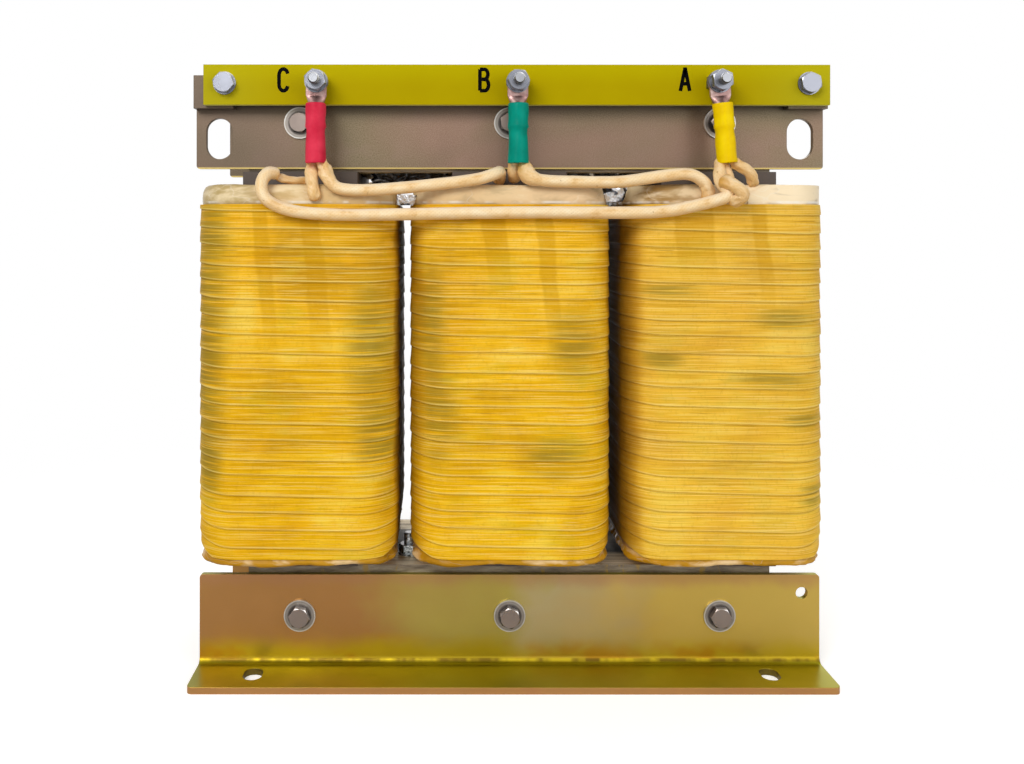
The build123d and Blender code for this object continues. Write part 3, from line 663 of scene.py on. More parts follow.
def rounded_outline(half_x, half_y, corner, step, corner_steps):
    """Points round a rounded rectangle, seen from above and counted from the middle of its
    rear side, each with its outward direction and its distance along the outline. Also gives
    the outline's length."""
    points = []
    flat_x, flat_y = half_x - corner, half_y - corner
    for across, back, start in ((1, 1, 90), (1, -1, 0), (-1, -1, -90), (-1, 1, -180)):
        cx, cy = across * flat_x, back * flat_y
        for i in range(corner_steps + 1):
            angle = math.radians(start - 90 * i / corner_steps)
            direction = (math.cos(angle), math.sin(angle))
            points.append((cx + corner * direction[0], cy + corner * direction[1], *direction))
    filled = [(0.0, half_y, 0.0, 1.0)]
    for before, after in zip([filled[0], *points], [*points, filled[0]]):
        gap = math.dist(before[:2], after[:2])
        extra = max(1, round(gap / step))
        for i in range(1, extra + 1):
            f = i / extra
            filled.append(tuple(a + (b - a) * f for a, b in zip(before, after)))
    filled.pop()
    distance, outline = 0.0, []
    for i, point in enumerate(filled):
        if i:
            distance += math.dist(point[:2], filled[i - 1][:2])
        outline.append((*point, distance))
    length = distance + math.dist(filled[-1][:2], filled[0][:2])
    return outline, length


def wavy(seed, *where):
    """Smooth noise from about -1 to 1 at up to three coordinates."""
    place = Vector((*where, 0.0, 0.0)[:3]) + Vector((seed * 17.3, seed * 5.1, seed * 11.7))
    return noise.noise(place)


# ---------------- coils
COIL_CORNER = 33 * MM
TAPE_TURNS = 20
TAPE_OVER_COLLAR = 3.0 * MM  # the lowest turn covers this much of the collar
LIP_ROOM = 1.0 * MM  # a turn's lower edge stands out by no more than this
DRAW_IN = 1.5 * MM  # how far the lowest turn is pulled in
UNDER_FILM = 4.0 * MM  # a collar's corners are tighter than the tape's by this much
COLLAR_DEPTH = 26 * MM
# A turn's section from its lower edge up: share of the turn's height, and share of the lip.
LAP_SECTION = [
    (0.0, 0.16), (-0.012, 0.8), (0.035, 1.0), (0.12, 0.93), (0.28, 0.74), (0.45, 0.56),
    (0.62, 0.42), (0.8, 0.28), (0.93, 0.19),
]


def half_sizes(name):
    """A node's bounds, its middle along X, and half its size along X and Y."""
    low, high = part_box(name)
    return low, high, (low.x + high.x) / 2, (high.x - low.x) / 2, (high.y - low.y) / 2


def tape_wrap(phase, seed, material):
    """One tape wound up the coil in a helix. Each turn's lower edge laps the turn below."""
    name = f"tape_wrap_{phase}"
    low, high, middle, half_x, half_y = half_sizes(name)
    inner = (half_x - LIP_ROOM, half_y - LIP_ROOM, COIL_CORNER - LIP_ROOM)
    outline, length = rounded_outline(*inner, 5 * MM, 12)
    columns = len(outline)
    tall = high.z - low.z
    pitch = tall / TAPE_TURNS
    bottom = low.z - TAPE_OVER_COLLAR

    def edge(u):
        """Height of the tape's lower edge after u turns; the tape isn't laid quite evenly."""
        uneven = 0.0026 * wavy(seed, 0.83 * math.floor(u) + 0.1) + 0.0022 * wavy(seed + 1, u * 2.1)
        return low.z + (u - 1) * pitch + uneven + 0.00035 * wavy(seed + 2, u * 9.0)

    def lip(u):
        return (1.0 + 0.42 * wavy(seed + 3, u * 1.7) + 0.22 * wavy(seed + 4, u * 11.0)) * MM

    points, along, height, lap, tone = [], [], [], [], []
    for turn in range(TAPE_TURNS + 2):
        for share, proud in LAP_SECTION:
            for x, y, nx, ny, s in outline:
                u = turn + s / length
                z = edge(u) + share * (edge(u + 1) - edge(u))
                # Near the coil's sides the turns run up, most of all at the bottom.
                near_end = max(0.0, abs(x) / half_x - 0.62) / 0.38
                lift = 1.6 + 8 * math.exp(-(z - low.z) / (22 * MM))
                z += lift * MM * near_end * near_end
                draw_in = max(0.0, 1 - (z - low.z) / tall * TAPE_TURNS / 1.9) ** 2
                puff = 0.35 * MM * wavy(seed + 5, x * 25, y * 25, z * 60)
                out = min(LIP_ROOM, proud * lip(u) + puff) - draw_in * DRAW_IN
                points.append((middle + x + nx * out, y + ny * out, clamp(z, bottom, high.z)))
                along.append(u * length)
                height.append(z)
                lap.append(clamp(share))
                tone.append(0.5 + 0.5 * wavy(seed + 6, math.floor(u) * 3.7, s * 2.0))
    rows = len(LAP_SECTION)
    all_rows = rows * (TAPE_TURNS + 2)
    faces = []
    for r in range(all_rows - 1):
        for c in range(columns):
            here, above = r * columns + c, (r + 1) * columns + c
            if c + 1 < columns:
                face = (here, here + 1, above + 1, above)
            elif r + rows + 1 < all_rows:
                # The end of one turn is the start of the next, one turn's rows further on.
                start = (r + rows) * columns
                face = (here, start, start + columns, above)
            else:
                continue
            heights = [points[i][2] for i in face]
            if max(heights) - min(heights) > 1e-6 or bottom < heights[0] < high.z:
                faces.append(face)
    values = {"along": along, "height": height, "lap": lap, "tone": tone}
    add_piece(name + "_turns", points, faces, material, (name,), values)


# A collar's section from the wrap outwards: how far in from the collar's face, in
# millimetres, and the share of its height. Both end in the flat towards the limb.
COLLAR_FLAT = [(5, 1), (9, 1), (15, 0.96), (COLLAR_DEPTH / MM, 0.9)]
TOP_SECTION = [
    (-1.6, 0), (-2.0, 0.12), (-1.9, 0.3), (-1.6, 0.48), (-1.3, 0.64), (-0.7, 0.78), (0.4, 0.9),
    (2.2, 0.97), *COLLAR_FLAT,
]
BOTTOM_SECTION = [
    (0.4, 0), (0, 0.3), (-1.4, 0.52), (-1.7, 0.66), (-1.2, 0.8), (0.2, 0.93), (2.2, 0.97),
    *COLLAR_FLAT,
]
# Its skirt under the tape: how far in, and how deep.
TOP_SKIRT = (-1.2, 1.5)
BOTTOM_SKIRT = (0.6, 13.0)


def collar(name, seed, material, upward, crumple):
    """Film and paper folded over a coil's end: a skirt that goes in under the tape, a wall
    round the coil and a flat towards the limb. Upward is true at the coil's top."""
    low, high, middle, half_x, half_y = half_sizes(name)
    outline, _ = rounded_outline(half_x, half_y, COIL_CORNER - UNDER_FILM, 2.0 * MM, 14)
    tall = high.z - low.z
    skirt_in, skirt = TOP_SKIRT if upward else BOTTOM_SKIRT
    walls = TOP_SECTION if upward else BOTTOM_SECTION
    section = [(skirt_in * MM, -skirt * MM)] + [(inward * MM, share * tall) for inward, share in walls]
    points = []
    for inward, rise in section:
        free = clamp(1.4 * rise / tall)
        for x, y, nx, ny, _ in outline:
            coarse = wavy(seed, x * 62, y * 62, rise * 90)
            fine = wavy(seed + 1, x * 190, y * 190, rise * 300)
            out = crumple * free * (coarse + 0.55 * fine) - inward
            lift = crumple * free * (1.1 * wavy(seed + 2, x * 34, y * 34) - 0.35)
            if upward:
                z = low.z + rise + min(0.0, lift)
            else:
                droop = 2.2 * max(0.0, wavy(seed + 3, x * 21, y * 21))
                z = high.z - rise - min(0.6 * MM, lift + droop * crumple)
            points.append((middle + x + nx * out, y + ny * out, z))
    faces = grid_faces(len(section), len(outline), True, flip=upward)
    add_piece(name + "_film", points, faces, material, (name,))


# Crumpled film ends between two coils: name, middle and size (across, up) in millimetres.
# The first two fill the upper corners in front; the others are dark sheets under the yoke that stand in
# for the shade there, with a few glints.
FILM_WEDGES = [
    ("film_between_cb", (-78, -78, 356.5), (15, 10)),
    ("film_between_ba", (78, -78, 360.5), (20, 14)),
    ("front_shade_sheet_cb", (-77, -38, 373.5), (62, 13)),
    ("front_shade_sheet_ba", (77, -38, 373.5), (62, 13)),
    ("rear_shade_sheet_cb", (-77, 38, 373.5), (62, 13)),
    ("rear_shade_sheet_ba", (77, 38, 373.5), (62, 13)),
]
WIDE_SHADE_SHEET = 30  # millimetres; only a narrower sheet tapers downwards


def film_wedge(name, middle, size, material, seed):
    """A small crumpled sheet, bulging away from the core, with a ragged outline."""
    columns, rows = 34, 20
    wide, tall = size
    away = -1 if middle.y < 0 else 1
    points = []
    for r in range(rows):
        for c in range(columns):
            u, v = c / (columns - 1) - 0.5, r / (rows - 1) - 0.5
            edge = 1 - 0.12 * abs(wavy(seed, u * 5, v * 5))
            edge *= 1 if wide > WIDE_SHADE_SHEET else 0.62 + 0.38 * (v + 0.5)
            coarse = 2.0 * wavy(seed + 1, u * wide * 0.3, v * 4.5)
            fine = 0.9 * wavy(seed + 2, u * wide * 0.7, v * 11)
            out = away * (coarse + fine + 3.5 * (1 - 4 * u * u))
            x, z = middle.x + u * wide * edge * MM, middle.z + v * tall * edge * MM
            points.append((x, middle.y + out * MM, z))
    faces = grid_faces(rows, columns, False, flip=away > 0)
    back = [(px, py - away * 0.4 * MM, pz) for px, py, pz in points]
    count = len(points)
    faces += [tuple(count + i for i in reversed(face)) for face in faces]
    add_piece(name, points + back, faces, material)


def film_step(phase, material):
    """A second lap of film round one coil's front right corner, with a slanting end."""
    low, high, middle, half_x, half_y = half_sizes(f"top_collar_{phase}")
    begins, slant_ends = 12 * MM, 26 * MM  # to the right of the coil's middle
    outline, _ = rounded_outline(half_x, half_y, COIL_CORNER - UNDER_FILM, 1.6 * MM, 14)
    outline = [p for p in outline if p[0] > begins and p[1] < 25 * MM]
    points, rows = [], 9
    for r in range(rows):
        v = r / (rows - 1)
        for x, y, nx, ny, _ in outline:
            in_front = y < -half_y + 1 * MM
            slant = clamp((x - begins) / (slant_ends - begins)) if in_front else 1.0
            top = 0.45 + 0.5 * slant
            out = (2.7 + 0.35 * wavy(91, x * 60, y * 60, v * 3)) * MM
            points.append((middle + x + nx * out, y + ny * out, low.z + (high.z - low.z) * top * v))
    faces = grid_faces(rows, len(outline), False, flip=True)
    add_piece(f"film_step_{phase}", points, faces, material)


# Each coil's darker bands (middle, half width, lower end) and its old varnish stains (middle
# and size, across and up), in millimetres.
TAPE_MARKS = {
    "c": (
        [(-187, 5.2, 262), (-150, 7.8, 262)],
        [
            ((-228, 285), (24, 80)), ((-228, 205), (20, 60)), ((-105, 250), (20, 65)),
            ((-222, 335), (16, 20)), ((-100, 180), (20, 30)), ((-225, 160), (12, 30)),
        ],
    ),
    "b": (
        [(-15.5, 9, 300), (22, 6, 262)],
        [
            ((45, 250), (20, 30)), ((-62, 270), (14, 50)), ((-55, 200), (18, 45)),
            ((30, 170), (25, 20)),
        ],
    ),
    "a": (
        [(132, 14, 310), (180, 5.5, 290)],
        [
            ((115, 290), (26, 7)), ((200, 270), (25, 10)), ((190, 225), (34, 8)),
            ((215, 195), (20, 8)), ((110, 240), (18, 8)), ((222, 140), (14, 10)),
        ],
    ),
}
# How pale each coil's tape is, and which of its sides take painted shade from the neighbouring
# coil: which way the side faces, how far in the shade reaches and how dark it is.
TAPE_TONE_AND_SIDE_SHADE = {
    "c": (0.0, [(1, 3.5 * MM, 0.7)]),
    "b": (0.0, [(-1, 12 * MM, 0.55), (1, 4 * MM, 0.5)]),
    "a": (0.3, [(-1, 13 * MM, 0.8)]),
}
# The end films' colours from each coil's left to its right, and the varnish patches in them.
TOP_FILMS = {
    "c": ((0.5, 0.36, 0.15), (0.76, 0.54, 0.26)),
    "b": ((0.78, 0.56, 0.29), (0.84, 0.62, 0.36)),
    "a": ((0.36, 0.2, 0.05), (0.99, 0.8, 0.53)),
}
BOTTOM_FILM = ((0.5, 0.235, 0.008), (0.56, 0.28, 0.015))
TOP_PATCHES, BOTTOM_PATCHES = (0.94, 0.76, 0.48), (0.95, 0.72, 0.42)


def make_coils():
    for index, phase in enumerate(PHASES):
        bands, stains = TAPE_MARKS[phase]
        low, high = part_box(f"tape_wrap_{phase}")
        pale, side_shades = TAPE_TONE_AND_SIDE_SHADE[phase]
        shaded_sides = [(high.x if way > 0 else low.x, way, reach, dark) for way, reach, dark in side_shades]
        tape_wrap(phase, 3 + 7 * index, tape(f"tape_{phase}", bands, stains, pale, shaded_sides))
        width = (low.x, high.x)
        top = film(f"film_top_{phase}", width, *TOP_FILMS[phase], TOP_PATCHES, 0.16, high.z)
        bottom = film(f"film_bottom_{phase}", width, *BOTTOM_FILM, BOTTOM_PATCHES, 0.12)
        collar(f"top_collar_{phase}", 40 + index, top, True, 0.9 * MM)
        collar(f"bottom_collar_{phase}", 60 + index, bottom, False, 1.9 * MM)
        if phase == "a":
            film_step(phase, top)
    # The dark film stands in for the shade under the yoke.
    glint, shade_sheet = clear_film("clear_film", 0.43), clear_film("dark_film", 0.54)
    for (name, place, size), seed in zip(FILM_WEDGES, range(71, 99, 3)):
        film_wedge(name, Vector(place) * MM, size, shade_sheet if size[0] > WIDE_SHADE_SHEET else glint, seed)
    board_browns = [(0.3, (0.045, 0.03, 0.022)), (0.7, (0.085, 0.06, 0.045))]
    pressboard = cloudy("pressboard", board_browns, (0.4, 0.6))
    winding = cloudy("winding", [(0.3, (0.22, 0.1, 0.03)), (0.7, (0.35, 0.18, 0.06))], (0.3, 0.5))
    for phase in PHASES:
        dress(pressboard, f"coil_former_{phase}")
        dress(winding, f"inner_winding_{phase}", f"outer_winding_{phase}")
    tube_paper = cloudy("tube_paper", [(0.3, (0.5, 0.38, 0.2)), (0.7, (0.62, 0.5, 0.3))], (0.5, 0.7))
    dress(tube_paper, "yoke_bolt_tubes")


# ---------------- leads
LEAD_RADIUS = 4.5 * MM
ROUND_TIP = 4 * MM
FOLD_REACH = 20 * MM  # how much of a lead's end is creased
GATHERED = 9 * MM  # how much of it is gathered into a shrink sleeve
CORE_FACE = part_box("core_limb_b")[1].y
COIL_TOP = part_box("top_collar_b")[1].z
SLEEVE_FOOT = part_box("sleeve_green")[0].z
AGAINST_COLLAR = (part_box("top_collar_b")[1].y - CORE_FACE + LEAD_RADIUS) / MM
ON_COLLAR = LEAD_RADIUS / MM
TUCK = -13.0
FROM_SLEEVE = (SLEEVE_FOOT - COIL_TOP) / MM + 2
# Each front lead's folds and fullness at its two ends, and its route.
# A route's point is its place along the core, how far it lies in front of the core's face
# (behind it, for the rear) and its height above the coils' tops, in millimetres.
FRONT_ROUTES = {
    "delta_lead_cb": ((1.2, 1.12), (1.1, 1.28), [
        (-140.5, 35, FROM_SLEEVE), (-136.5, 36.5, 6.5), (-132, 38, -1.3), (-124.5, 38.5, -4.9),
        (-97.5, 38.5, -4.9), (-53.5, 38.5, -0.5), (-25, 38, 3), (-15, 36, 6.5),
        (-9, 31, 9), (-9, 22, 8), (-10, 12, ON_COLLAR),
    ]),
    "delta_lead_ba": ((1.3, 1.3), (1.0, 1.05), [
        (8, 35.5, FROM_SLEEVE), (9.5, 37, 8), (14, 38, 3.5), (26, 38.5, 1.5), (60, 38.5, 1),
        (78, 38.5, 1), (92.5, 38.5, 3), (115, 38.5, 6.5), (129, 38.5, 7.5), (137, 38, 3.5),
        (142.5, 37.5, -2), (144, AGAINST_COLLAR, TUCK),
    ]),
    "delta_lead_ac": ((0.9, 1.0), (0.4, 1.1), [
        (152.5, 34, FROM_SLEEVE), (151, 38, 9), (150, 42, 1), (155, 46, -6), (154, 47.5, -10),
        (146, 46, -12.5), (137, 44.5, -15), (115, 42, -20), (92.5, 41.5, -21.5), (20, 41.5, -21),
        (-31.5, 41.5, -21.5), (-97.5, 41.5, -23), (-134, 41.5, -23), (-158, 42, -21),
        (-172, 42.5, -17), (-181, 42, -11), (-184, 41, -3), (-182.5, 38, 4.5),
        (-178, 33, 9), (-173, 28, 7),
    ]),
    "coil_lead_c": ((1.0, 1.05), (0.9, 0.95), [
        (-147.5, 29.5, FROM_SLEEVE), (-148, 33, 6), (-147, AGAINST_COLLAR, 0),
        (-144.5, AGAINST_COLLAR, TUCK),
    ]),
    "coil_lead_b": ((0.8, 1.0), (0.5, 1.0), [
        (1, 29.5, FROM_SLEEVE), (1, 28, 10), (2.5, 21, 6.5), (3, 10, ON_COLLAR),
    ]),
    "coil_lead_a": ((0.5, 1.12), (0.9, 1.05), [
        (154.5, 29.5, FROM_SLEEVE), (157.5, 33, 6), (158, AGAINST_COLLAR, 0),
        (158, AGAINST_COLLAR, TUCK),
    ]),
}
STAR_ROUTE = [
    (x, out, ON_COLLAR)
    for x, out in (
        (-150, 12), (-130, 16), (-90, 18), (-40, 17), (10, 18), (60, 17), (110, 18), (135, 16), (152, 11)
    )
]
# Short pieces of braid that the CAD leads leave out: the knot below sleeve A, the loop beside
# it, and the bare conductor that comes out of the long lead's open end.
LOOSE_ENDS = {
    "knot_band": (4.7 * MM, [
        (149, 46, 3), (154, 50.5, 0), (160, 52, -3.5), (165, 51, -8), (163, 48.5, -12), (155, 45, -13),
    ]),
    "side_loop": (3.9 * MM, [
        (160.5, 34, FROM_SLEEVE), (166, 35.5, 13), (172.5, 35, 10), (177, 33, 4.5), (178, 30, -2),
    ]),
    "bare_end": (2.7 * MM, [(-175, 28, 5.5), (-168, 24, 3.2), (-158, 21, 2.8), (-146, 19, 3.0)]),
}


def smooth_line(route, side):
    """Points along the route's NURBS spline, in metres."""
    data = bpy.data.curves.new("route", "CURVE")
    data.dimensions = "3D"
    data.resolution_u = 12
    spline = data.splines.new("NURBS")
    spline.points.add(len(route) - 1)
    for point, (x, out, rise) in zip(spline.points, route):
        point.co = (x * MM, side * (CORE_FACE + out * MM), COIL_TOP + rise * MM, 1)
    spline.order_u = 3
    spline.use_endpoint_u = True
    holder = bpy.data.objects.new("route", data)
    bpy.context.scene.collection.objects.link(holder)
    mesh = bpy.data.meshes.new_from_object(holder)
    line = [v.co.copy() for v in mesh.vertices]
    bpy.data.objects.remove(holder)
    bpy.data.curves.remove(data)
    bpy.data.meshes.remove(mesh)
    return line


def resample(line, step):
    """Evenly spaced points along a line, with their distances, and the line's length."""
    lengths = [0.0]
    for a, b in zip(line, line[1:]):
        lengths.append(lengths[-1] + (b - a).length)
    count = max(3, round(lengths[-1] / step))
    out, k = [], 0
    for i in range(count + 1):
        goal = lengths[-1] * i / count
        while k + 2 < len(lengths) and lengths[k + 1] < goal:
            k += 1
        span = lengths[k + 1] - lengths[k]
        f = (goal - lengths[k]) / span if span else 0.0
        out.append((line[k].lerp(line[k + 1], f), goal))
    return out, lengths[-1]


def rounded_tip(distance):
    """How much of its radius a lead has this far from its closed end."""
    short = max(0.0, 1 - distance / ROUND_TIP)
    return max(0.12, math.sqrt(max(0.0, 1 - short * short)))


def sleeved_lead(name, route, side, material, seed, start, end, replaced=(), radius=LEAD_RADIUS):
    """A lead in braided sleeving, rounded at its end. At each end, the pair says how much the
    sleeving is creased and flattened, and how full it is. A lead that replaces a CAD lead
    isn't rounded at its start; in front, it is gathered there into its shrink sleeve."""
    line, length = resample(smooth_line(route, side), 0.9 * MM)
    sides = 32
    points, along, around, resin = [], [], [], []
    side_way = Vector((0, 1, 0))
    for i, (place, distance) in enumerate(line):
        after = line[min(i + 1, len(line) - 1)][0]
        before = line[max(i - 1, 0)][0]
        ahead = (after - before).normalized()
        side_way = (side_way - ahead * side_way.dot(ahead)).normalized()
        up_way = ahead.cross(side_way)
        at_start = max(0.0, 1 - distance / FOLD_REACH)
        at_end = max(0.0, 1 - (length - distance) / FOLD_REACH)
        fold = max(start[0] * at_start, end[0] * at_end)
        full = 1 + (start[1] - 1) * math.sin(math.pi * min(1.0, at_start * 1.1))
        full += (end[1] - 1) * min(1.0, 1.5 * at_end)
        neck = 0.74 + 0.26 * min(1.0, distance / GATHERED) if replaced and side < 0 else 1.0
        neck *= rounded_tip(length - distance) * (1.0 if replaced else rounded_tip(distance))
        for j in range(sides):
            angle = 2 * math.pi * j / sides
            cosine, sine = math.cos(angle), math.sin(angle)
            crease = fold * 0.3 * wavy(seed, distance * 200, cosine * 1.4, sine * 1.4)
            pleat = fold * 0.2 * wavy(seed + 3, distance * 300, cosine * 2.8, sine * 2.8)
            uneven = crease + pleat + 0.035 * wavy(seed + 1, distance * 60, cosine, sine)
            wide = full * (1 + 0.12 * fold) + uneven
            flat = full * (1 - 0.14 * fold) + uneven
            offset = (side_way * cosine * flat + up_way * sine * wide) * neck
            points.append(place + offset * radius)
            along.append(distance)
            around.append(j / sides)
            resin.append(clamp(0.75 * fold * (0.75 + wavy(seed + 2, distance * 120, angle))))
    last = (len(line) - 1) * sides
    faces = grid_faces(len(line), sides, True)
    faces.append(tuple(range(sides - 1, -1, -1)))
    faces.append(tuple(range(last, last + sides)))
    values = {"along": along, "around": around, "resin": resin}
    add_piece(name + "_braid", points, faces, material, replaced, values)


def make_leads():
    cloth = braid()
    for index, (name, (start, end, route)) in enumerate(FRONT_ROUTES.items()):
        sleeved_lead(name, route, -1, cloth, 80 + 4 * index, start, end, (name,))
    for index, (name, (radius, route)) in enumerate(LOOSE_ENDS.items()):
        ends = (1.2, 1.0)
        sleeved_lead(name, route, -1, cloth, 160 + 4 * index, ends, ends, radius=radius)
    lug_out = (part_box("cable_lugs")[1].y - 1.5 * MM - CORE_FACE) / MM
    for index, phase in enumerate(PHASES):
        at = mounts[f"terminal_{phase}_rear"]["pos_m"][0] / MM
        route = [
            (at, lug_out, FROM_SLEEVE), (at + 1, AGAINST_COLLAR, 8), (at + 0.5, AGAINST_COLLAR, -1),
            (at - 1, AGAINST_COLLAR, TUCK),
        ]
        name, ends = f"rear_lead_{phase}", (0.5, 1.0)
        sleeved_lead(name, route, 1, cloth, 110 + 4 * index, ends, ends, (name,))
    ends = (0.6, 1.0)
    sleeved_lead("star_lead", STAR_ROUTE, 1, cloth, 125, ends, ends, ("star_lead",))


# ---------------- shrink sleeves
SLEEVE_TOP = -16.5 * MM
SLEEVE_RADIUS = 7.75 * MM
LUG_THICK = 1.5 * MM
SLEEVE_A_LEANS = math.radians(-4.5)
# Rings down a shrink sleeve, as radius and height in millimetres: a cut top, full over the
# barrel, a ridge at the barrel's end, slack below it, and a cut foot. The wall turns in at
# both ends.
SLEEVE_SECTION = [
    (5.6, 0), (6.9, 0), (7.3, -0.5), (7.45, -2), (7.5, -7), (7.3, -11), (7.35, -14), (7.75, -16.2),
    (7.9, -17.6), (7.0, -19), (6.8, -22), (7.1, -25), (7.3, -30), (7.25, -35), (7.35, -40),
    (7.55, -43), (7.5, -43.8), (6.8, -44), (3, -43.6), (0, -43.6),
]
SLEEVE_SIDES = 40
# Where each pair of sleeves is, in front and in the rear, and its full and its deep colour.
SLEEVES = {
    "red": ("c", "a", (0.76, 0.042, 0.085), (0.62, 0.02, 0.052)),
    "green": ("b", "b", (0.0, 0.285, 0.205), (0.0, 0.22, 0.155)),
    "yellow": ("a", "c", (0.93, 0.66, 0.0), (0.82, 0.52, 0.0)),
}


def sleeve_points(seed, turn, at):
    """One sleeve's points, ring by ring, turned and moved to its terminal."""
    points = []
    for radius, down in ((r * MM, d * MM) for r, d in SLEEVE_SECTION):
        cut = -43 * MM > down or down > -1 * MM
        for j in range(SLEEVE_SIDES):
            angle = 2 * math.pi * j / SLEEVE_SIDES
            x, y = math.cos(angle), math.sin(angle)
            coarse = 0.65 * wavy(seed, x * 1.5, y * 1.5, down * 95)
            fine = 0.16 * wavy(seed + 1, x * 3, y * 3, down * 300)
            puff = radius / SLEEVE_RADIUS * (coarse + fine) * MM
            ragged = 0.5 * MM * wavy(seed + 2, x, y) if cut else 0.0
            r = min(radius + puff, SLEEVE_RADIUS)
            points.append(turn @ Vector((r * x, r * y, SLEEVE_TOP + down + min(0.0, ragged))) + at)
    return points


def make_sleeves():
    lug_low, lug_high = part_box("cable_lugs")
    lug_y = (lug_high.y - lug_low.y) / 2 - LUG_THICK
    for index, (colour, (front, rear, skin, deep)) in enumerate(SLEEVES.items()):
        points, faces = [], []
        for side, phase, way in ((-1, front, "front"), (1, rear, "rear")):
            x, _, z = mounts[f"terminal_{phase}_{way}"]["pos_m"]
            lean = SLEEVE_A_LEANS if (phase, side) == ("a", -1) else 0.0
            turn = Matrix.Rotation(lean, 3, "Y")
            start = len(points)
            points += sleeve_points(140 + 5 * index + side, turn, Vector((x, side * lug_y, z)))
            rings = grid_faces(len(SLEEVE_SECTION), SLEEVE_SIDES, True, flip=True)
            faces += [tuple(start + i for i in face) for face in rings]
        stops, sizes = [(0.3, deep), (0.65, skin)], {"clouds": (90, 3, 0.5), "grain": (700, 3)}
        finish = cloudy(
            f"sleeve_{colour}_skin", stops, (0.36, 0.36), relief=(0.00008, 0.4), IOR=1.16, **sizes
        )
        add_piece(f"shrink_{colour}", points, faces, finish, (f"sleeve_{colour}",))


# ---------------- letters on the board
LETTER_TALL = 20 * MM
LETTER_WIDE = 10 * MM
STROKE = 2.7 * MM
LETTER_BACK = {"c": 25.7 * MM, "b": 24.4 * MM, "a": 22.9 * MM}  # left of its terminal
LETTER_RISE = 3.5 * MM  # above the board's middle


def arc(cx, cy, rx, ry, start, end, steps=14):
    """Points on part of an ellipse; angles in degrees."""
    out = []
    for i in range(steps + 1):
        angle = math.radians(start + (end - start) * i / steps)
        out.append((cx + rx * math.cos(angle), cy + ry * math.sin(angle)))
    return out


def letter_strokes(letter):
    """Stroke lines in a box from -1 to 1 across and 0 to 1 up."""
    if letter == "c":
        return [arc(0, 0.7, 0.9, 0.27, 15, 180) + arc(0, 0.3, 0.9, 0.27, 180, 345)]
    if letter == "b":
        upper = [(-0.85, 0.96), (0.0, 0.96)] + arc(0.05, 0.745, 0.72, 0.215, 90, -90) + [(-0.85, 0.53)]
        lower = [(-0.85, 0.53), (0.1, 0.53)] + arc(0.15, 0.285, 0.75, 0.245, 90, -90) + [(-0.85, 0.04)]
        return [[(-0.85, 0.04), (-0.85, 0.96)], upper, lower]
    return [[(-0.95, 0.03), (-0.05, 0.97), (0.05, 0.97), (0.95, 0.03)], [(-0.62, 0.34), (0.62, 0.34)]]


def add_stroke(line, half, points, faces, thick):
    """Adds a flat stroke along a line of (x, z) points, with mitred corners."""
    start = len(points)
    for i, (x, z) in enumerate(line):
        before, after = line[max(i - 1, 0)], line[min(i + 1, len(line) - 1)]
        if i == 0:
            before = (2 * x - after[0], 2 * z - after[1])
        if i == len(line) - 1:
            after = (2 * x - before[0], 2 * z - before[1])
        first = Vector((x - before[0], z - before[1])).normalized()
        second = Vector((after[0] - x, after[1] - z)).normalized()
        along = (first + second).normalized()
        across = Vector((-along.y, along.x))
        stretch = min(1.6, 1 / max(0.3, along.dot(first)))
        for side in (1, -1):
            for depth in (0.0, -thick):
                reach = side * half * stretch
                points.append((x + reach * across.x, depth, z + reach * across.y))
    faces.append((start, start + 1, start + 3, start + 2))
    for i in range(len(line) - 1):
        a, b = start + 4 * i, start + 4 * (i + 1)
        faces += [(a + 1, b + 1, b + 3, a + 3), (a, b, b + 1, a + 1), (a + 2, a + 3, b + 3, b + 2)]
    end = start + 4 * (len(line) - 1)
    faces.append((end, end + 2, end + 3, end + 1))


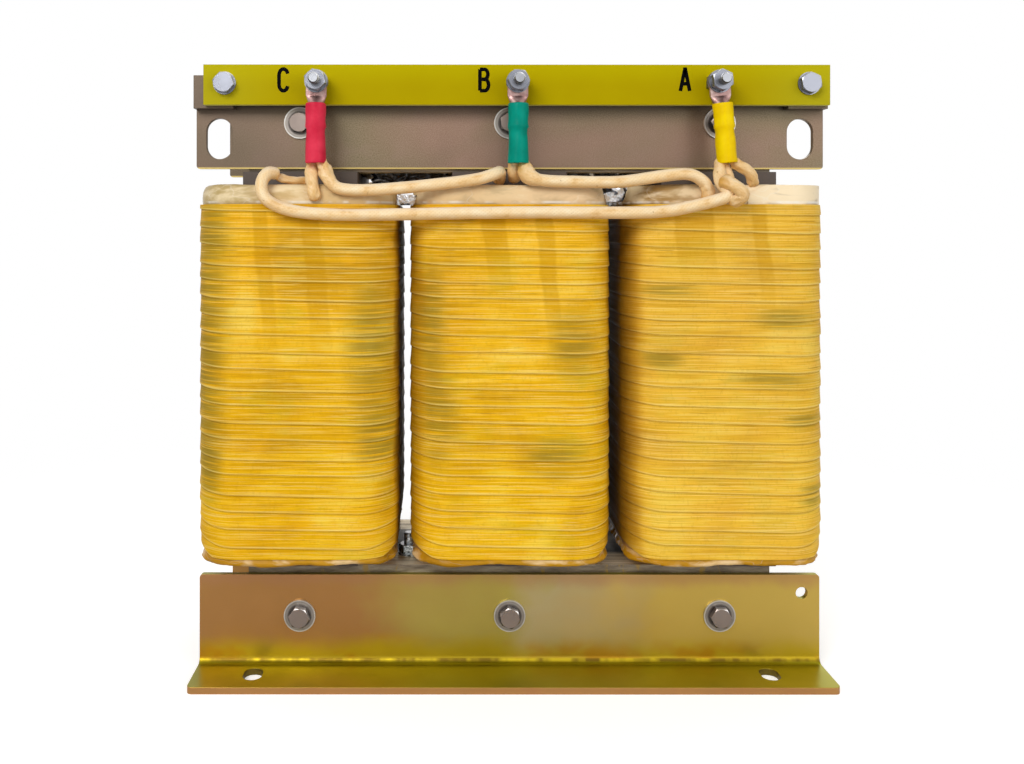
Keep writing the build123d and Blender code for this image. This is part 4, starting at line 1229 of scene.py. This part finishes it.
def make_letters():
    ink = black_ink()
    low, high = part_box("terminal_board_front")
    foot = (low.z + high.z) / 2 - LETTER_TALL / 2 + LETTER_RISE
    across = (LETTER_WIDE - STROKE) / 2
    for letter in PHASES:
        middle = mounts[f"terminal_{letter}_front"]["pos_m"][0] - LETTER_BACK[letter]
        points, faces = [], []
        for layer, line in enumerate(letter_strokes(letter)):
            placed = [(x * across, STROKE / 2 + z * (LETTER_TALL - STROKE)) for x, z in line]
            add_stroke(placed, STROKE / 2, points, faces, (0.1 + 0.03 * layer) * MM)
        points = [(x + middle, y + low.y, z + foot) for x, y, z in points]
        add_piece(f"letter_{letter}", points, faces, ink, smooth=False)


# ---------------- steel, board and core
def make_metalwork():
    dress(upper_plate(), "upper_clamp_front", "upper_clamp_rear", "board_spacers")
    dress(folded_angle(), "lower_clamp_front", "lower_clamp_rear")
    dress(zinc("stainless", (0.28, 0.225, 0.195), 0.3), "yoke_bolts", "yoke_bolt_nuts")
    dress(washer_steel(), "yoke_bolt_washers")
    dress(zinc("spring_steel", (0.1, 0.085, 0.075), 0.35), "yoke_bolt_spring_washers")
    silver = zinc("bright_zinc", (0.29, 0.3, 0.345), 0.28)
    dress(silver, "board_bolts", "board_bolt_washers", "board_bolt_nuts")
    dress(silver, "terminal_nuts", "terminal_washers", "terminal_spring_washers")
    dress(zinc("threaded", (0.42, 0.43, 0.46), 0.28, thread=1.25 * MM), "terminal_bolts")
    rough_zinc = zinc("rough_zinc", (0.34, 0.38, 0.4), 0.35, coarse=0.9)
    dress(rough_zinc, "core_earth_stud", "core_earth_nut", "core_earth_washer")
    dress(epoxy_board(), "terminal_board_front", "terminal_board_rear")
    dress(laminations(), "yoke_lower", "yoke_upper", *(f"core_limb_{p}" for p in PHASES))
    # A lug is tinned over and handled: pale pink copper under varnish.
    relief = (0.0003, 0.5, 0.0005)
    copper = cloudy("copper_lug", COPPER_PINKS, (0.25, 0.5), (120, 4, 0.6), (300, 3), relief, Metallic=0.7)
    dress(copper, "cable_lugs")


make_metalwork()
make_coils()
make_leads()
make_sleeves()
make_letters()

bpy.context.scene.view_settings.view_transform = "Standard"
